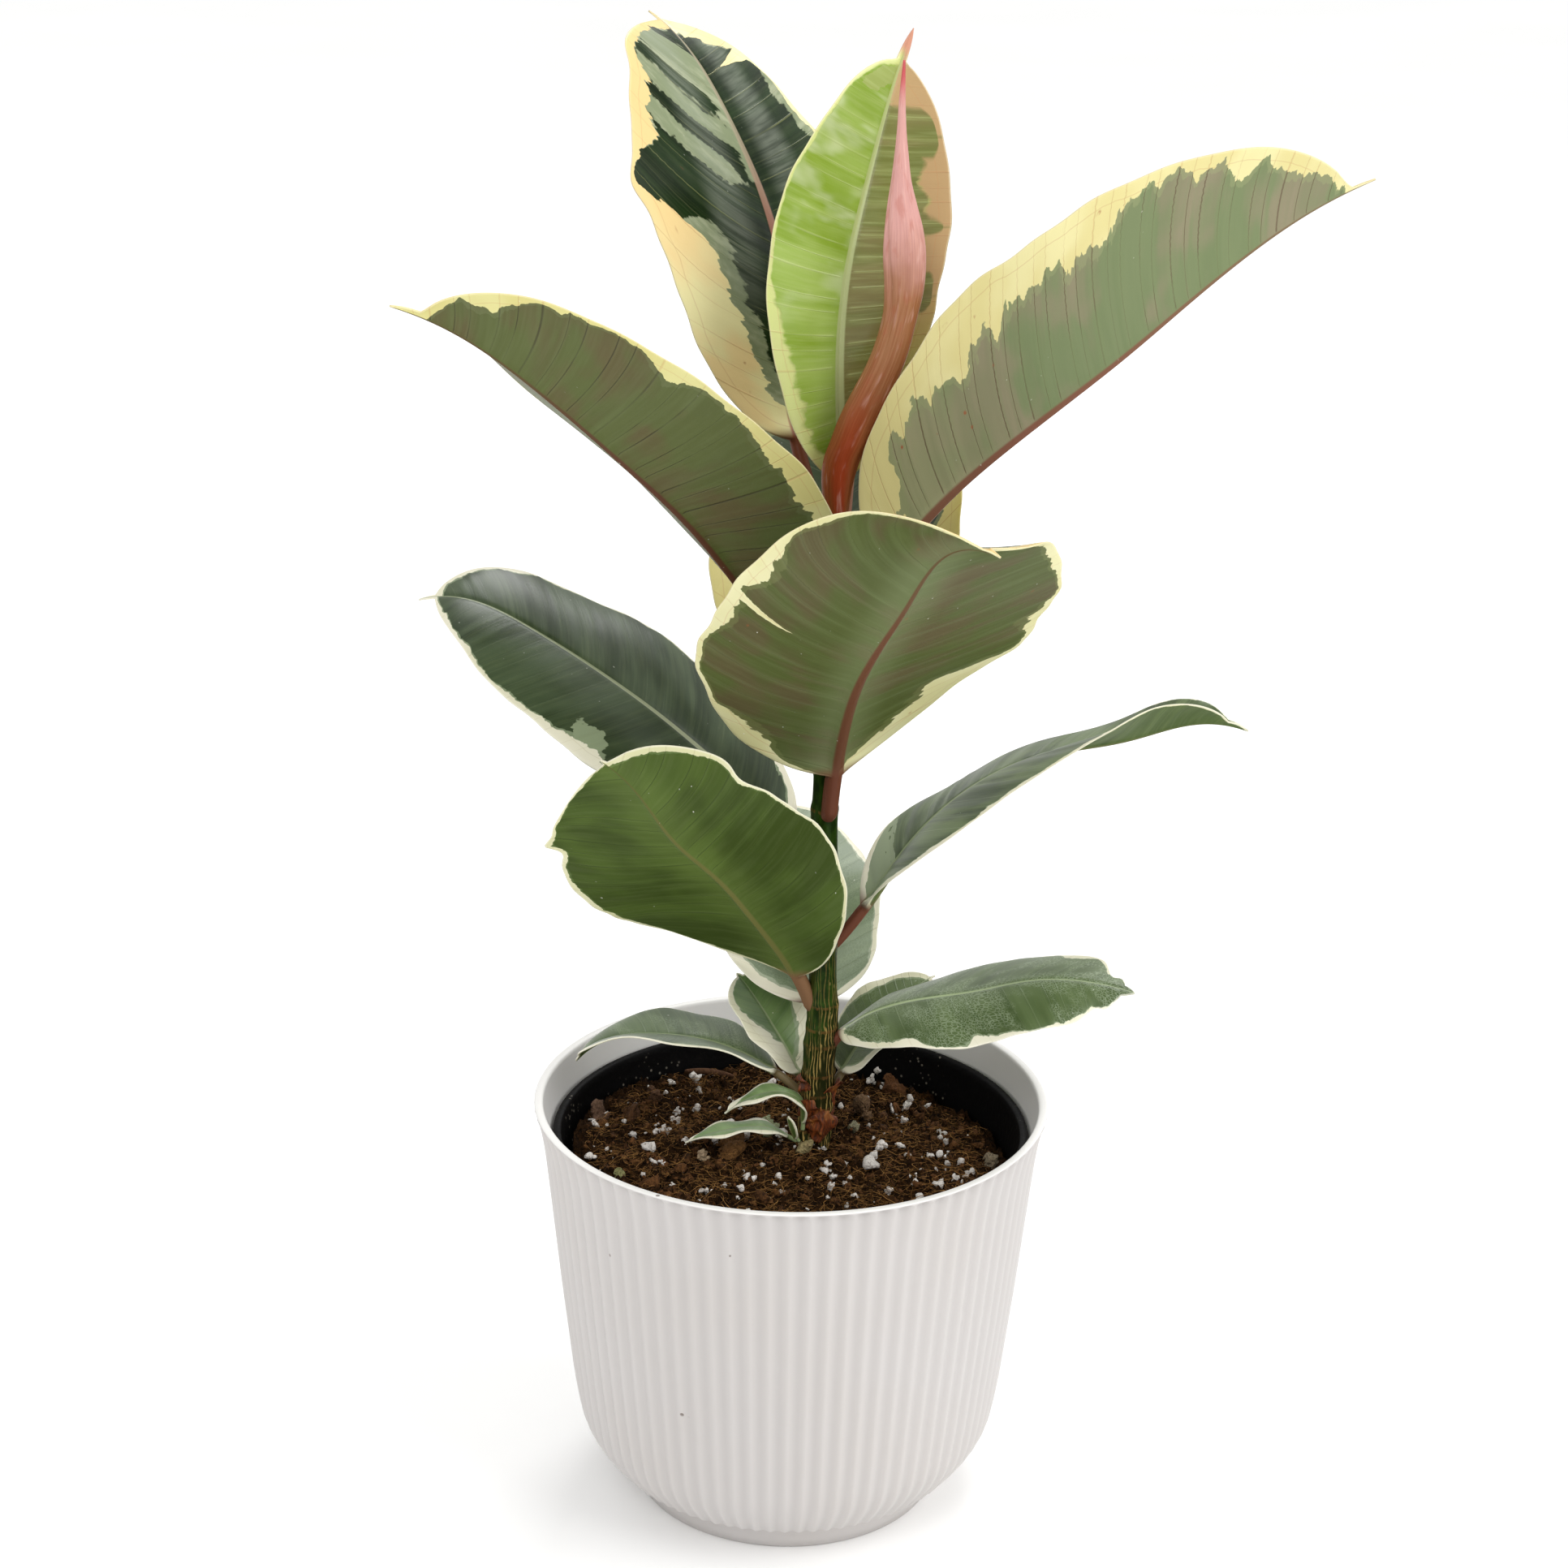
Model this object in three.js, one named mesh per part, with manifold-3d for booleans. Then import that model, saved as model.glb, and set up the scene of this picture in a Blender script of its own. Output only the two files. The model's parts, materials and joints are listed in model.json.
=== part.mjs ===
// A potted tineke rubber plant: a fluted cover pot, the grow pot inside it, the root ball,
// one upright stem and its leaves. Millimetres and degrees, +Z up, and the origin is the
// middle of the pot's foot, on the surface that it stands on. The front of the plant is -Y.
import * as THREE from "three";
import { mergeVertices } from "three/addons/utils/BufferGeometryUtils.js";
import Module from "manifold-3d";

// Clearance between pieces that touch.
const GAP = 0.3;
// A cut leaves slivers along its edge, and corners this near a flat face are taken out.
const SLIVER = 0.02;

// Cover pot: the outside at the crests of its flutes, as [radius, height].
const FLUTES = 80;
const FLUTE_DEPTH = 0.8;
const WALL = 2.2;
const RIM_RADIUS = 72.5;
const POT_HEIGHT = 120.2;
const RIM_WIDTH = 3.1;
const FOOT_RADIUS = 43.4;
const FOOT_TOP_RADIUS = 45.2;
const STEP_RADIUS = 49;
const STEP_HEIGHT = 9.2;
const FOOT_FLOOR = 2.6;
const LIP = 2;
const BODY_PROFILE = [
  [51.1, 9.8], [53.8, 13.1], [57.3, 17.5], [60, 23.1], [62, 35.5],
  [65.4, 65], [68.8, 98.1], [70, 109.2], [71.3, 115.8],
];

// Grow pot, standing on the step inside the cover pot.
const GROW_BASE_RADIUS = 46.5;
const GROW_RIM_RADIUS = 67.2;
const GROW_TOP = 111;
const GROW_WALL = 1;
const GROW_BEAD = 3.5;
const GROW_SEAT = STEP_HEIGHT + WALL + GAP;
const DRAIN_HOLES = 6;
const DRAIN_RADIUS = 3.5;
const DRAIN_CIRCLE = 30;

// Root ball: a tilted surface, higher at the front left, with a low mound round the stem.
const SOIL_LEVEL = 102.5;
const SOIL_TILT_X = -0.05;
const SOIL_TILT_Y = -0.045;
const MOUND_HEIGHT = 3;
const MOUND_RADIUS = 15;
const CLOD_HEIGHT = 0.9;

// Stem centre line as [x, z], and its radius at the same heights.
const STEM_LINE = [[6, 70], [6.2, 95], [6.7, 107.6], [8.4, 145.4], [7.9, 203.6], [10.5, 288.5]];
const STEM_RADII = [3.4, 4.4, 4.6, 4.2, 3.5, 2.8];

// The rolled bud sheath at the tip, from its foot up: middle, half width and half depth.
const SHEATH = [
  { at: [9.6, -1.2, 288.9], wide: 2.8, deep: 2.8 },
  { at: [7.6, -4.2, 300], wide: 3.8, deep: 2.8 },
  { at: [10.4, -6.8, 310], wide: 5.2, deep: 3.1 },
  { at: [20.2, -9.5, 336.5], wide: 4.4, deep: 2.6 },
  { at: [24.4, -9.5, 361.2], wide: 5.6, deep: 2.2 },
  { at: [23.4, -7.5, 385.5], wide: 1.9, deep: 1.3 },
  { at: [23.8, -6, 401], wide: 0.8, deep: 0.7 },
  { at: [24.3, -5, 410.5], wide: 0.35, deep: 0.35 },
];

// The short side shoot at the foot of the stem, which the three smallest leaves grow from.
const SHOOT = [
  { at: [4, -5.9, 106.7], wide: 1.3, deep: 1.3 },
  { at: [3.8, -6, 110], wide: 1.4, deep: 1.4 },
  { at: [3.6, -6.1, 112.2], wide: 1, deep: 1 },
];

// Leaves. foot is the height on the stem, or a point, that the petiole leaves from. heading
// and pitch are the midrib's direction in plan and its rise, from that foot to the tip.
// roll, fold and curl run from the blade's base to its tip: how far the blade is rolled about
// the midrib, how far each half is folded up from flat, and how much more it bends by its
// margin, as [left half, right half]. shape is the widest place, the roundness of the base
// and of the tip, and the drip tip's share of the length. A petiole leaves the stem
// FOOT_OFFSET from its axis, and starts ROOT_DEPTH further in, at no more than ROOT_PITCH.
// Leaves that grow above YELLOW_FROM have yellow margins, and the lower ones cream.
const FOOT_OFFSET = 3.5;
const ROOT_DEPTH = 4;
const ROOT_PITCH = 40;
const YELLOW_FROM = 200;
const BLADE_THICKNESS = 0.8;
const SMALL_LEAF = 45;
const LEAF_STATIONS = [0, 0.06, 0.16, 0.28, 0.4, 0.52, 0.64, 0.76, 0.87, 0.95, 1];
const SMALL_STATIONS = [0, 0.1, 0.3, 0.5, 0.7, 0.9, 1];
const LEAVES = {
  leaf_top_back: {
    foot: 281, petiole: 30, length: 127, width: 74, stalk: 1.9,
    heading: [128, 126, 149], pitch: [50, 65, 89, 66, 54, 50, 28], roll: [0, 5],
    fold: [[0], [-5]], curl: [[0], [0]], shape: [0.55, 0.6, 0.4, 0.04],
  },
  leaf_top_young: {
    foot: 285, petiole: 13, length: 122, width: 49, stalk: 1.6,
    heading: [93, 57, 53], pitch: [84, 100, 84, 69, 66, 54], roll: [25, 50],
    fold: [[30], [5]], curl: [[0], [0]], shape: [0.55, 0.65, 0.7, 0.08],
  },
  leaf_upper_right: {
    foot: 257, petiole: 21, length: 163, width: 84, stalk: 2,
    heading: [-6, -15, -10], pitch: [66, 54, 43, 41, 44, 39, 25], roll: [-45, -35],
    fold: [[40], [25]], curl: [[15], [0]], shape: [0.52, 0.65, 0.5, 0.04],
  },
  leaf_upper_left: {
    foot: 238, petiole: 16, length: 156, width: 82, stalk: 2,
    heading: [-140, -146, -169], pitch: [53, 54, 50, 43, 42, 37, 18], roll: [10, 40],
    fold: [[15], [30]], curl: [[-10], [5]], shape: [0.45, 0.6, 0.6, 0.05],
  },
  leaf_front: {
    foot: 207, petiole: 13, length: 122, width: 92, stalk: 2.3,
    heading: [-70, -77, -61, -40], pitch: [81, 59, 44, 45, 49, -15], roll: [15, -20],
    fold: [[5], [10]], curl: [[0], [0]], shape: [0.55, 0.6, 0.35, 0.04],
  },
  leaf_back_middle: {
    foot: 218, petiole: 21, length: 123, width: 80, stalk: 2,
    heading: [85, 82, 96], pitch: [58, 55, 54, 48, 40], roll: [-15, -10],
    fold: [[5], [15]], curl: [[0], [10]], shape: [0.36, 0.6, 0.7, 0.05],
  },
  leaf_left_middle: {
    foot: 192, petiole: 10, length: 123, width: 61, stalk: 1.8,
    heading: [160, 170, 177], pitch: [55, 36, 38, 34, 31, 24, -15], roll: [-20],
    fold: [[5], [5]], curl: [[-20], [-20]], shape: [0.5, 0.6, 0.55, 0.04],
  },
  leaf_left_front: {
    foot: 149, petiole: 11, length: 99, width: 71, stalk: 2,
    heading: [-158, -138, -157], pitch: [71, 54, 50, 42, 56, 37], roll: [5, 35],
    fold: [[15], [-15]], curl: [[5], [-10]], shape: [0.52, 0.6, 0.45, 0.02],
  },
  leaf_right_middle: {
    foot: 167, petiole: 13, length: 125, width: 56, stalk: 1.7,
    heading: [7, 12, -9], pitch: [49, 58, 43, 23, 7, 17, -19], roll: [5, -30, -20, 20],
    fold: [[20, 15], [35, -15, 15, 85]], curl: [[-10], [-15]], shape: [0.45, 0.65, 0.8, 0.05],
  },
  leaf_back_low: {
    foot: 142, petiole: 5, length: 75, width: 57, stalk: 1.5,
    heading: [106, 103, 118], pitch: [53, 60, 27, 20, 10], roll: [0, -5],
    fold: [[5], [-5]], curl: [[0], [0]], shape: [0.45, 0.55, 0.5, 0.04],
  },
  leaf_right_low: {
    foot: 137, petiole: 4, length: 88, width: 43, stalk: 1.4,
    heading: [-15, -15, -20], pitch: [59, 27, 15, 20, 4, -10], roll: [-5, 5],
    fold: [[5], [-10]], curl: [[-15], [-25]], shape: [0.5, 0.5, 0.6, 0.04],
  },
  leaf_right_low_back: {
    foot: 118, petiole: 9, length: 40, width: 26, stalk: 1.2,
    heading: [33], pitch: [59, 50, 32, 14], roll: [0],
    fold: [[10], [10]], curl: [[0], [0]], shape: [0.5, 0.5, 0.7, 0.04],
  },
  leaf_left_low: {
    foot: 120, petiole: 11, length: 63, width: 32, stalk: 1.2,
    heading: [178, 169, 171], pitch: [46, 27, 4, -12, -54], roll: [0],
    fold: [[20], [10]], curl: [[-5], [-15]], shape: [0.5, 0.5, 0.7, 0.04],
  },
  leaf_left_inner: {
    foot: 120, petiole: 6, length: 34, width: 24, stalk: 1.1,
    heading: [140], pitch: [62, 49, 45, 35], roll: [0],
    fold: [[15], [15]], curl: [[0], [0]], shape: [0.5, 0.5, 0.7, 0.04],
  },
  leaf_shoot_upper: {
    foot: [3.4, -6.4, 112.8], petiole: 2, length: 31, width: 9, stalk: 0.6,
    heading: [190], pitch: [95, 85, 40, 5, -15, -30, -35], roll: [0],
    fold: [[10], [10]], curl: [[-15], [-15]], shape: [0.5, 0.5, 0.7, 0.04],
  },
  leaf_shoot_lower: {
    foot: [1.6, -6.3, 109.2], petiole: 3, length: 31, width: 9, stalk: 0.6,
    heading: [195], pitch: [35, 30, 5, -3, -12, -20], roll: [0],
    fold: [[10], [10]], curl: [[-15], [-15]], shape: [0.5, 0.5, 0.7, 0.04],
  },
  leaf_shoot_tiny: {
    foot: [2.4, -7.9, 109.9], petiole: 1.5, length: 8, width: 4, stalk: 0.5,
    heading: [215], pitch: [50, 70, 78], roll: [0],
    fold: [[10], [10]], curl: [[0], [0]], shape: [0.5, 0.6, 0.6, 0.04],
  },
};

// Papery old stipules round the foot of the stem, made as small leaves.
const SCALE_LOOK = { stalk: 0.9, roll: [0], curl: [[25], [25]], shape: [0.45, 0.5, 0.6, 0.04] };
const SCALES = {
  base_scale_right: {
    ...SCALE_LOOK, foot: 113, petiole: 1, length: 13, width: 7,
    heading: [-22], pitch: [60, 75, 60, 20], fold: [[15], [15]],
  },
  base_scale_front: {
    ...SCALE_LOOK, foot: 114, petiole: 1, length: 8, width: 6,
    heading: [-98], pitch: [55, 75, 85], fold: [[20], [20]],
  },
  base_scale_low: {
    ...SCALE_LOOK, foot: 107.5, petiole: 1, length: 8, width: 8,
    heading: [-62], pitch: [40, 75, 85], fold: [[20], [20]],
  },
  base_scale_left: {
    ...SCALE_LOOK, foot: 122.5, petiole: 1, length: 5, width: 5,
    heading: [220], pitch: [55, 80, 85], fold: [[15], [15]],
  },
};

const MATERIALS = {
  white_plastic: { color: 0xe6e3df, roughness: 0.45, metalness: 0 },
  black_plastic: { color: 0x17181a, roughness: 0.6, metalness: 0 },
  peat: { color: 0x3b271c, roughness: 0.95, metalness: 0 },
  bark: { color: 0x4a5a2c, roughness: 0.7, metalness: 0 },
  yellow_leaf: { color: 0x6f8156, roughness: 0.4, metalness: 0 },
  cream_leaf: { color: 0x5f7566, roughness: 0.4, metalness: 0 },
  young_leaf: { color: 0x9db866, roughness: 0.35, metalness: 0 },
  stipule: { color: 0xb8705a, roughness: 0.5, metalness: 0 },
  dry_scale: { color: 0x8a4a2a, roughness: 0.8, metalness: 0 },
};

const wasm = await Module();
wasm.setup();
const plant = new THREE.Group();

// A point of a curve that passes through values at equal steps, at s from 0 to 1.
function along(values, s) {
  if (values.length === 1) return values[0];
  const last = values.length - 1;
  const x = Math.min(Math.max(s, 0), 1) * last;
  const i = Math.min(Math.floor(x), last - 1);
  const t = x - i;
  const [b, c] = [values[i], values[i + 1]];
  const a = i > 0 ? values[i - 1] : 2 * b - c;
  const d = i + 2 <= last ? values[i + 2] : 2 * c - b;
  const cubic = 3 * b - a - 3 * c + d;
  const square = 2 * a - 5 * b + 4 * c - d;
  return 0.5 * (2 * b + (c - a) * t + square * t * t + cubic * t * t * t);
}

// The stem's centre line and radius at a height, straight between the listed heights.
function stemAt(z) {
  const heights = STEM_LINE.map((p) => p[1]);
  let i = heights.findIndex((h) => h > z) - 1;
  if (i < 0) i = z < heights[0] ? 0 : heights.length - 2;
  const t = (z - heights[i]) / (heights[i + 1] - heights[i]);
  const x = THREE.MathUtils.lerp(STEM_LINE[i][0], STEM_LINE[i + 1][0], t);
  return { x, radius: THREE.MathUtils.lerp(STEM_RADII[i], STEM_RADII[i + 1], t) };
}

// A closed skin over loops of points: walls between them, and a fan over each end.
function loft(loops) {
  const count = loops[0].length;
  const points = loops.flat();
  const ends = [loops[0], loops[loops.length - 1]].map((loop) =>
    loop.reduce((sum, p) => sum.add(p), new THREE.Vector3()).divideScalar(count),
  );
  const [first, last] = [points.length, points.length + 1];
  const top = (loops.length - 1) * count;
  const index = [];
  for (let k = 0; k < count; k++) {
    const next = (k + 1) % count;
    index.push(first, next, k, last, top + k, top + next);
    for (let row = 0; row < top; row += count)
      index.push(row + k, row + next, row + count + next, row + k, row + count + next, row + count + k);
  }
  const geometry = new THREE.BufferGeometry().setFromPoints([...points, ...ends]);
  geometry.setIndex(index);
  return geometry;
}

// A ring of points of a given count, in the plane of two directions.
function ring(centre, across, up, wide, deep, count) {
  return Array.from({ length: count }, (_, k) => {
    const a = (2 * Math.PI * k) / count;
    const side = centre.clone().addScaledVector(across, wide * Math.cos(a));
    return side.addScaledVector(up, deep * Math.sin(a));
  });
}

// A geometry as a solid that can be joined and cut, and back. A skin that was wound the
// wrong way round has its faces turned first.
function solid(geometry) {
  const plain = geometry.clone();
  plain.deleteAttribute("normal");
  plain.deleteAttribute("uv");
  const merged = mergeVertices(plain, 1e-4);
  const build = (triVerts) =>
    new wasm.Manifold(
      new wasm.Mesh({ numProp: 3, vertProperties: merged.attributes.position.array, triVerts }),
    );
  const faces = new Uint32Array(merged.index.array);
  const made = build(faces);
  return made.volume() > 0 ? made : build(faces.reverse());
}

function geometryOf(body) {
  const { vertProperties, triVerts } = body.getMesh();
  return new THREE.BufferGeometry()
    .setAttribute("position", new THREE.BufferAttribute(vertProperties, 3))
    .setIndex(new THREE.BufferAttribute(triVerts, 1));
}

function add(name, material, body) {
  const mesh = new THREE.Mesh(geometryOf(body), new THREE.MeshStandardMaterial(MATERIALS[material]));
  mesh.name = name;
  plant.add(mesh);
}

// A solid turned from a profile of [radius, height] points that starts and ends on the axis.
function turned(profile, segments) {
  const outline = profile.map(([r, z]) => new THREE.Vector2(r, z));
  return solid(new THREE.LatheGeometry(outline, segments).rotateX(Math.PI / 2));
}

// The outside of the cover pot, with a crest and a valley for every flute, less its inside.
function coverPot() {
  const count = 2 * FLUTES;
  const lip = POT_HEIGHT - LIP;
  const levels = [
    [FOOT_RADIUS, 0, 0],
    [FOOT_TOP_RADIUS, STEP_HEIGHT - 0.4, 0],
    [STEP_RADIUS, STEP_HEIGHT, 0.5],
    ...BODY_PROFILE.map(([r, z]) => [r, z, 1]),
    [RIM_RADIUS, lip, 0.6],
    [RIM_RADIUS, lip + 0.6, 0],
    [RIM_RADIUS - 0.4, POT_HEIGHT, 0],
  ];
  const loops = levels.map(([radius, z, fluted]) =>
    Array.from({ length: count }, (_, k) => {
      const r = radius - (k % 2 ? fluted * FLUTE_DEPTH : 0);
      const a = (2 * Math.PI * k) / count;
      return new THREE.Vector3(r * Math.cos(a), r * Math.sin(a), z);
    }),
  );
  const inside = [
    [0, FOOT_FLOOR],
    [FOOT_RADIUS - WALL, FOOT_FLOOR],
    [FOOT_TOP_RADIUS - WALL, STEP_HEIGHT + WALL],
    [STEP_RADIUS - 0.6, STEP_HEIGHT + WALL],
    ...BODY_PROFILE.slice(1).map(([r, z]) => [r - WALL, z + WALL * Math.max(0, 1 - z / 30)]),
    [RIM_RADIUS - RIM_WIDTH, POT_HEIGHT - 1],
    [RIM_RADIUS - RIM_WIDTH, POT_HEIGHT + 5],
    [0, POT_HEIGHT + 5],
  ];
  return solid(loft(loops)).subtract(turned(inside, 64));
}

// The grow pot's wall as [radius, height], from the floor up: inside it lies the root ball.
function growRadius(z) {
  const t = (z - GROW_SEAT) / (GROW_TOP - GROW_BEAD - GROW_SEAT);
  return THREE.MathUtils.lerp(GROW_BASE_RADIUS, GROW_RIM_RADIUS - 1.2, Math.min(t, 1));
}

function growPot() {
  const floor = GROW_SEAT + GROW_WALL;
  const bead = GROW_TOP - GROW_BEAD;
  const wall = turned(
    [
      [0, GROW_SEAT], [GROW_BASE_RADIUS, GROW_SEAT], [growRadius(bead), bead],
      [GROW_RIM_RADIUS, bead], [GROW_RIM_RADIUS, GROW_TOP],
      [growRadius(bead) - GROW_WALL, GROW_TOP], [growRadius(bead) - GROW_WALL, bead],
      [growRadius(floor) - GROW_WALL, floor], [0, floor],
    ],
    64,
  );
  const hole = new THREE.CylinderGeometry(DRAIN_RADIUS, DRAIN_RADIUS, 6, 12).rotateX(Math.PI / 2);
  return Array.from({ length: DRAIN_HOLES }).reduce((pot, _, k) => {
    const a = (2 * Math.PI * k) / DRAIN_HOLES;
    const at = hole.clone().translate(DRAIN_CIRCLE * Math.cos(a), DRAIN_CIRCLE * Math.sin(a), GROW_SEAT);
    return pot.subtract(solid(at));
  }, wall);
}

// The height of the soil's surface: a tilted plane, the mound and low clods.
function soilTop(x, y) {
  const stem = stemAt(SOIL_LEVEL);
  const mound = Math.exp(-((x - stem.x) ** 2 + y * y) / (2 * MOUND_RADIUS ** 2));
  const clods = Math.sin(x / 5 + 1) * Math.cos(y / 6.5) + 0.6 * Math.sin(x / 3.1 - y / 4.3);
  return SOIL_LEVEL + SOIL_TILT_X * x + SOIL_TILT_Y * y + MOUND_HEIGHT * mound + CLOD_HEIGHT * clods;
}

function rootBall(stemClearance) {
  const segments = 48;
  const wallAt = (z) => growRadius(z) - GROW_WALL - GAP;
  const floor = GROW_SEAT + GROW_WALL + GAP;
  const circle = (r, height) =>
    Array.from({ length: segments }, (_, k) => {
      const a = (2 * Math.PI * k) / segments;
      const [x, y] = [r * Math.cos(a), r * Math.sin(a)];
      return new THREE.Vector3(x, y, height ?? soilTop(x, y));
    });
  const edge = wallAt(SOIL_LEVEL - 8);
  const loops = [
    circle(wallAt(floor), floor),
    circle(edge, SOIL_LEVEL - 8),
    ...[0.985, 0.86, 0.7, 0.54, 0.38, 0.22, 0.08].map((share) => circle(edge * share)),
  ];
  return solid(loft(loops)).subtract(stemClearance);
}

// The stem as round sections, or the same grown by a clearance.
function stemSolid(clearance) {
  const sides = 16;
  const heights = [70, 95, 107.6, 120, 133, 145.4, 166, 185, 203.6, 230, 260, 288.5];
  const [across, up] = [new THREE.Vector3(1, 0, 0), new THREE.Vector3(0, 1, 0)];
  const loops = heights.map((z, i) => {
    const { x, radius } = stemAt(z);
    const r = radius + clearance;
    const end = i === 0 ? -clearance : i === heights.length - 1 ? clearance : 0;
    return ring(new THREE.Vector3(x, 0, z + end), across, up, r, r, sides);
  });
  return solid(loft(loops));
}

// Oval sections across a path of listed middles, as the sheath and the side shoot have.
function ovalLoft(sections, sides) {
  const [across, up] = [new THREE.Vector3(1, 0, 0), new THREE.Vector3(0, 1, 0)];
  return solid(
    loft(sections.map((s) => ring(new THREE.Vector3(...s.at), across, up, s.wide, s.deep, sides))),
  );
}

// Half width of a blade at s from 0 at its base to 1 at its tip, as a share of the greatest:
// two elliptic ends that meet at the widest place, and a narrow drip tip.
function bladeShare(s, [widest, base, tip, drip]) {
  const t = Math.min(s / (1 - drip), 1);
  const tail = 0.05 * s ** 8 * Math.sqrt(Math.max(0, 1 - s));
  if (t < widest) return (1 - (1 - t / widest) ** 2) ** base + tail;
  return Math.max(0, 1 - ((t - widest) / (1 - widest)) ** 2) ** tip + tail;
}

// A leaf: the midrib follows its heading and pitch, and at each station a closed section is
// laid across it, round on the petiole and thin and wide on the blade.
function leafSolid(leaf) {
  const rad = THREE.MathUtils.degToRad;
  const total = leaf.petiole + leaf.length;
  const steps = 200;
  const directionAt = (s) => {
    const h = rad(along(leaf.heading, s));
    const p = rad(s < 0 ? Math.min(leaf.pitch[0], ROOT_PITCH) : along(leaf.pitch, s));
    return {
      h,
      dir: new THREE.Vector3(Math.cos(p) * Math.cos(h), Math.cos(p) * Math.sin(h), Math.sin(p)),
    };
  };
  const start = directionAt(0);
  const foot = new THREE.Vector3();
  if (Array.isArray(leaf.foot)) foot.set(...leaf.foot);
  else foot.set(stemAt(leaf.foot).x, 0, leaf.foot).add(
    new THREE.Vector3(Math.cos(start.h), Math.sin(start.h), 0).multiplyScalar(FOOT_OFFSET),
  );
  const path = [foot];
  for (let i = 1; i <= steps; i++) {
    const middle = directionAt((i - 0.5) / steps).dir;
    path.push(path[i - 1].clone().addScaledVector(middle, total / steps));
  }
  const pointAt = (s) => {
    if (s < 0) return foot.clone().addScaledVector(directionAt(s).dir, s * total);
    const x = Math.min(s, 1) * steps;
    const i = Math.min(Math.floor(x), steps - 1);
    return path[i].clone().lerp(path[i + 1], x - i);
  };

  const shares = [-1, -0.87, -0.5, 0, 0.5, 0.87, 1];
  const section = (distance) => {
    const s = distance / total;
    const b = (distance - leaf.petiole) / leaf.length;
    const blade = THREE.MathUtils.smoothstep(b, -0.02, 0.06);
    const { h, dir } = directionAt(s);
    const flat = new THREE.Vector3(-Math.sin(h), Math.cos(h), 0);
    const up = new THREE.Vector3().crossVectors(dir, flat);
    const roll = rad(along(leaf.roll, b));
    const left = flat.clone().multiplyScalar(Math.cos(roll)).addScaledVector(up, Math.sin(roll));
    const normal = up.clone().multiplyScalar(Math.cos(roll)).addScaledVector(flat, -Math.sin(roll));
    const bladeHalf = b > 0 ? (leaf.width / 2) * bladeShare(b, leaf.shape) : 0;
    const half = Math.max(Math.hypot(bladeHalf, leaf.stalk * (1 - Math.max(b, 0)) ** 2), 0.3);
    const place = (u, side) => {
      const hand = u < 0 ? 1 : 0;
      const fold = rad(along(leaf.fold[hand], b));
      const curl = rad(along(leaf.curl[hand], b)) || 1e-4;
      const t = Math.abs(u);
      const across = ((Math.sin(fold + curl * t) - Math.sin(fold)) / curl) * half * Math.sign(u);
      const rise = ((Math.cos(fold) - Math.cos(fold + curl * t)) / curl) * half;
      const slope = u === 0 ? 0 : (fold + curl * t) * Math.sign(u);
      const round = Math.sqrt(1 - t * t) * leaf.stalk;
      const thin = t < 1 ? Math.min(BLADE_THICKNESS / 2, half) : 0;
      const depth = THREE.MathUtils.lerp(round, thin, blade) * side;
      return pointAt(s)
        .addScaledVector(left, across - depth * Math.sin(slope))
        .addScaledVector(normal, rise + depth * Math.cos(slope));
    };
    return [...shares.map((u) => place(u, 1)), ...shares.slice(1, -1).reverse().map((u) => place(u, -1))];
  };
  const onBlade = leaf.length < SMALL_LEAF ? SMALL_STATIONS : LEAF_STATIONS;
  const root = Array.isArray(leaf.foot) ? [0] : [-ROOT_DEPTH, 0];
  const stations = [...root, leaf.petiole / 2, ...onBlade.map((b) => leaf.petiole + b * leaf.length)];
  return solid(loft(stations.map(section)));
}

// The largest of the bodies that a cut leaves.
function largest(body) {
  return body.decompose().reduce((a, b) => (a.volume() > b.volume() ? a : b));
}

const stemClearance = stemSolid(GAP);
add("outer_pot", "white_plastic", coverPot());
add("nursery_pot", "black_plastic", growPot());
add("soil", "peat", rootBall(stemClearance));
add("stem", "bark", stemSolid(0));
add("bud_sheath", "stipule", ovalLoft(SHEATH, 10));
add("side_shoot", "bark", ovalLoft(SHOOT, 10));
for (const [name, leaf] of Object.entries(LEAVES)) {
  const margin = leaf.foot > YELLOW_FROM ? "yellow_leaf" : "cream_leaf";
  const material = name === "leaf_top_young" ? "young_leaf" : margin;
  add(name, material, largest(leafSolid(leaf).subtract(stemClearance)));
}
for (const [name, scale] of Object.entries(SCALES))
  add(name, "dry_scale", largest(leafSolid(scale).subtract(stemClearance)).simplify(SLIVER));

export default plant;
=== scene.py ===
"""A potted tineke rubber plant: fluted cover pot, grow pot, peat, stem, bud sheath and leaves.

Every piece is a surface worked out with numpy, in millimetres, and put into its mesh in metres.
The leaves, the stem and the pots follow the dimensions of the CAD part that they replace.
"""
import json
import math
from functools import cached_property

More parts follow.
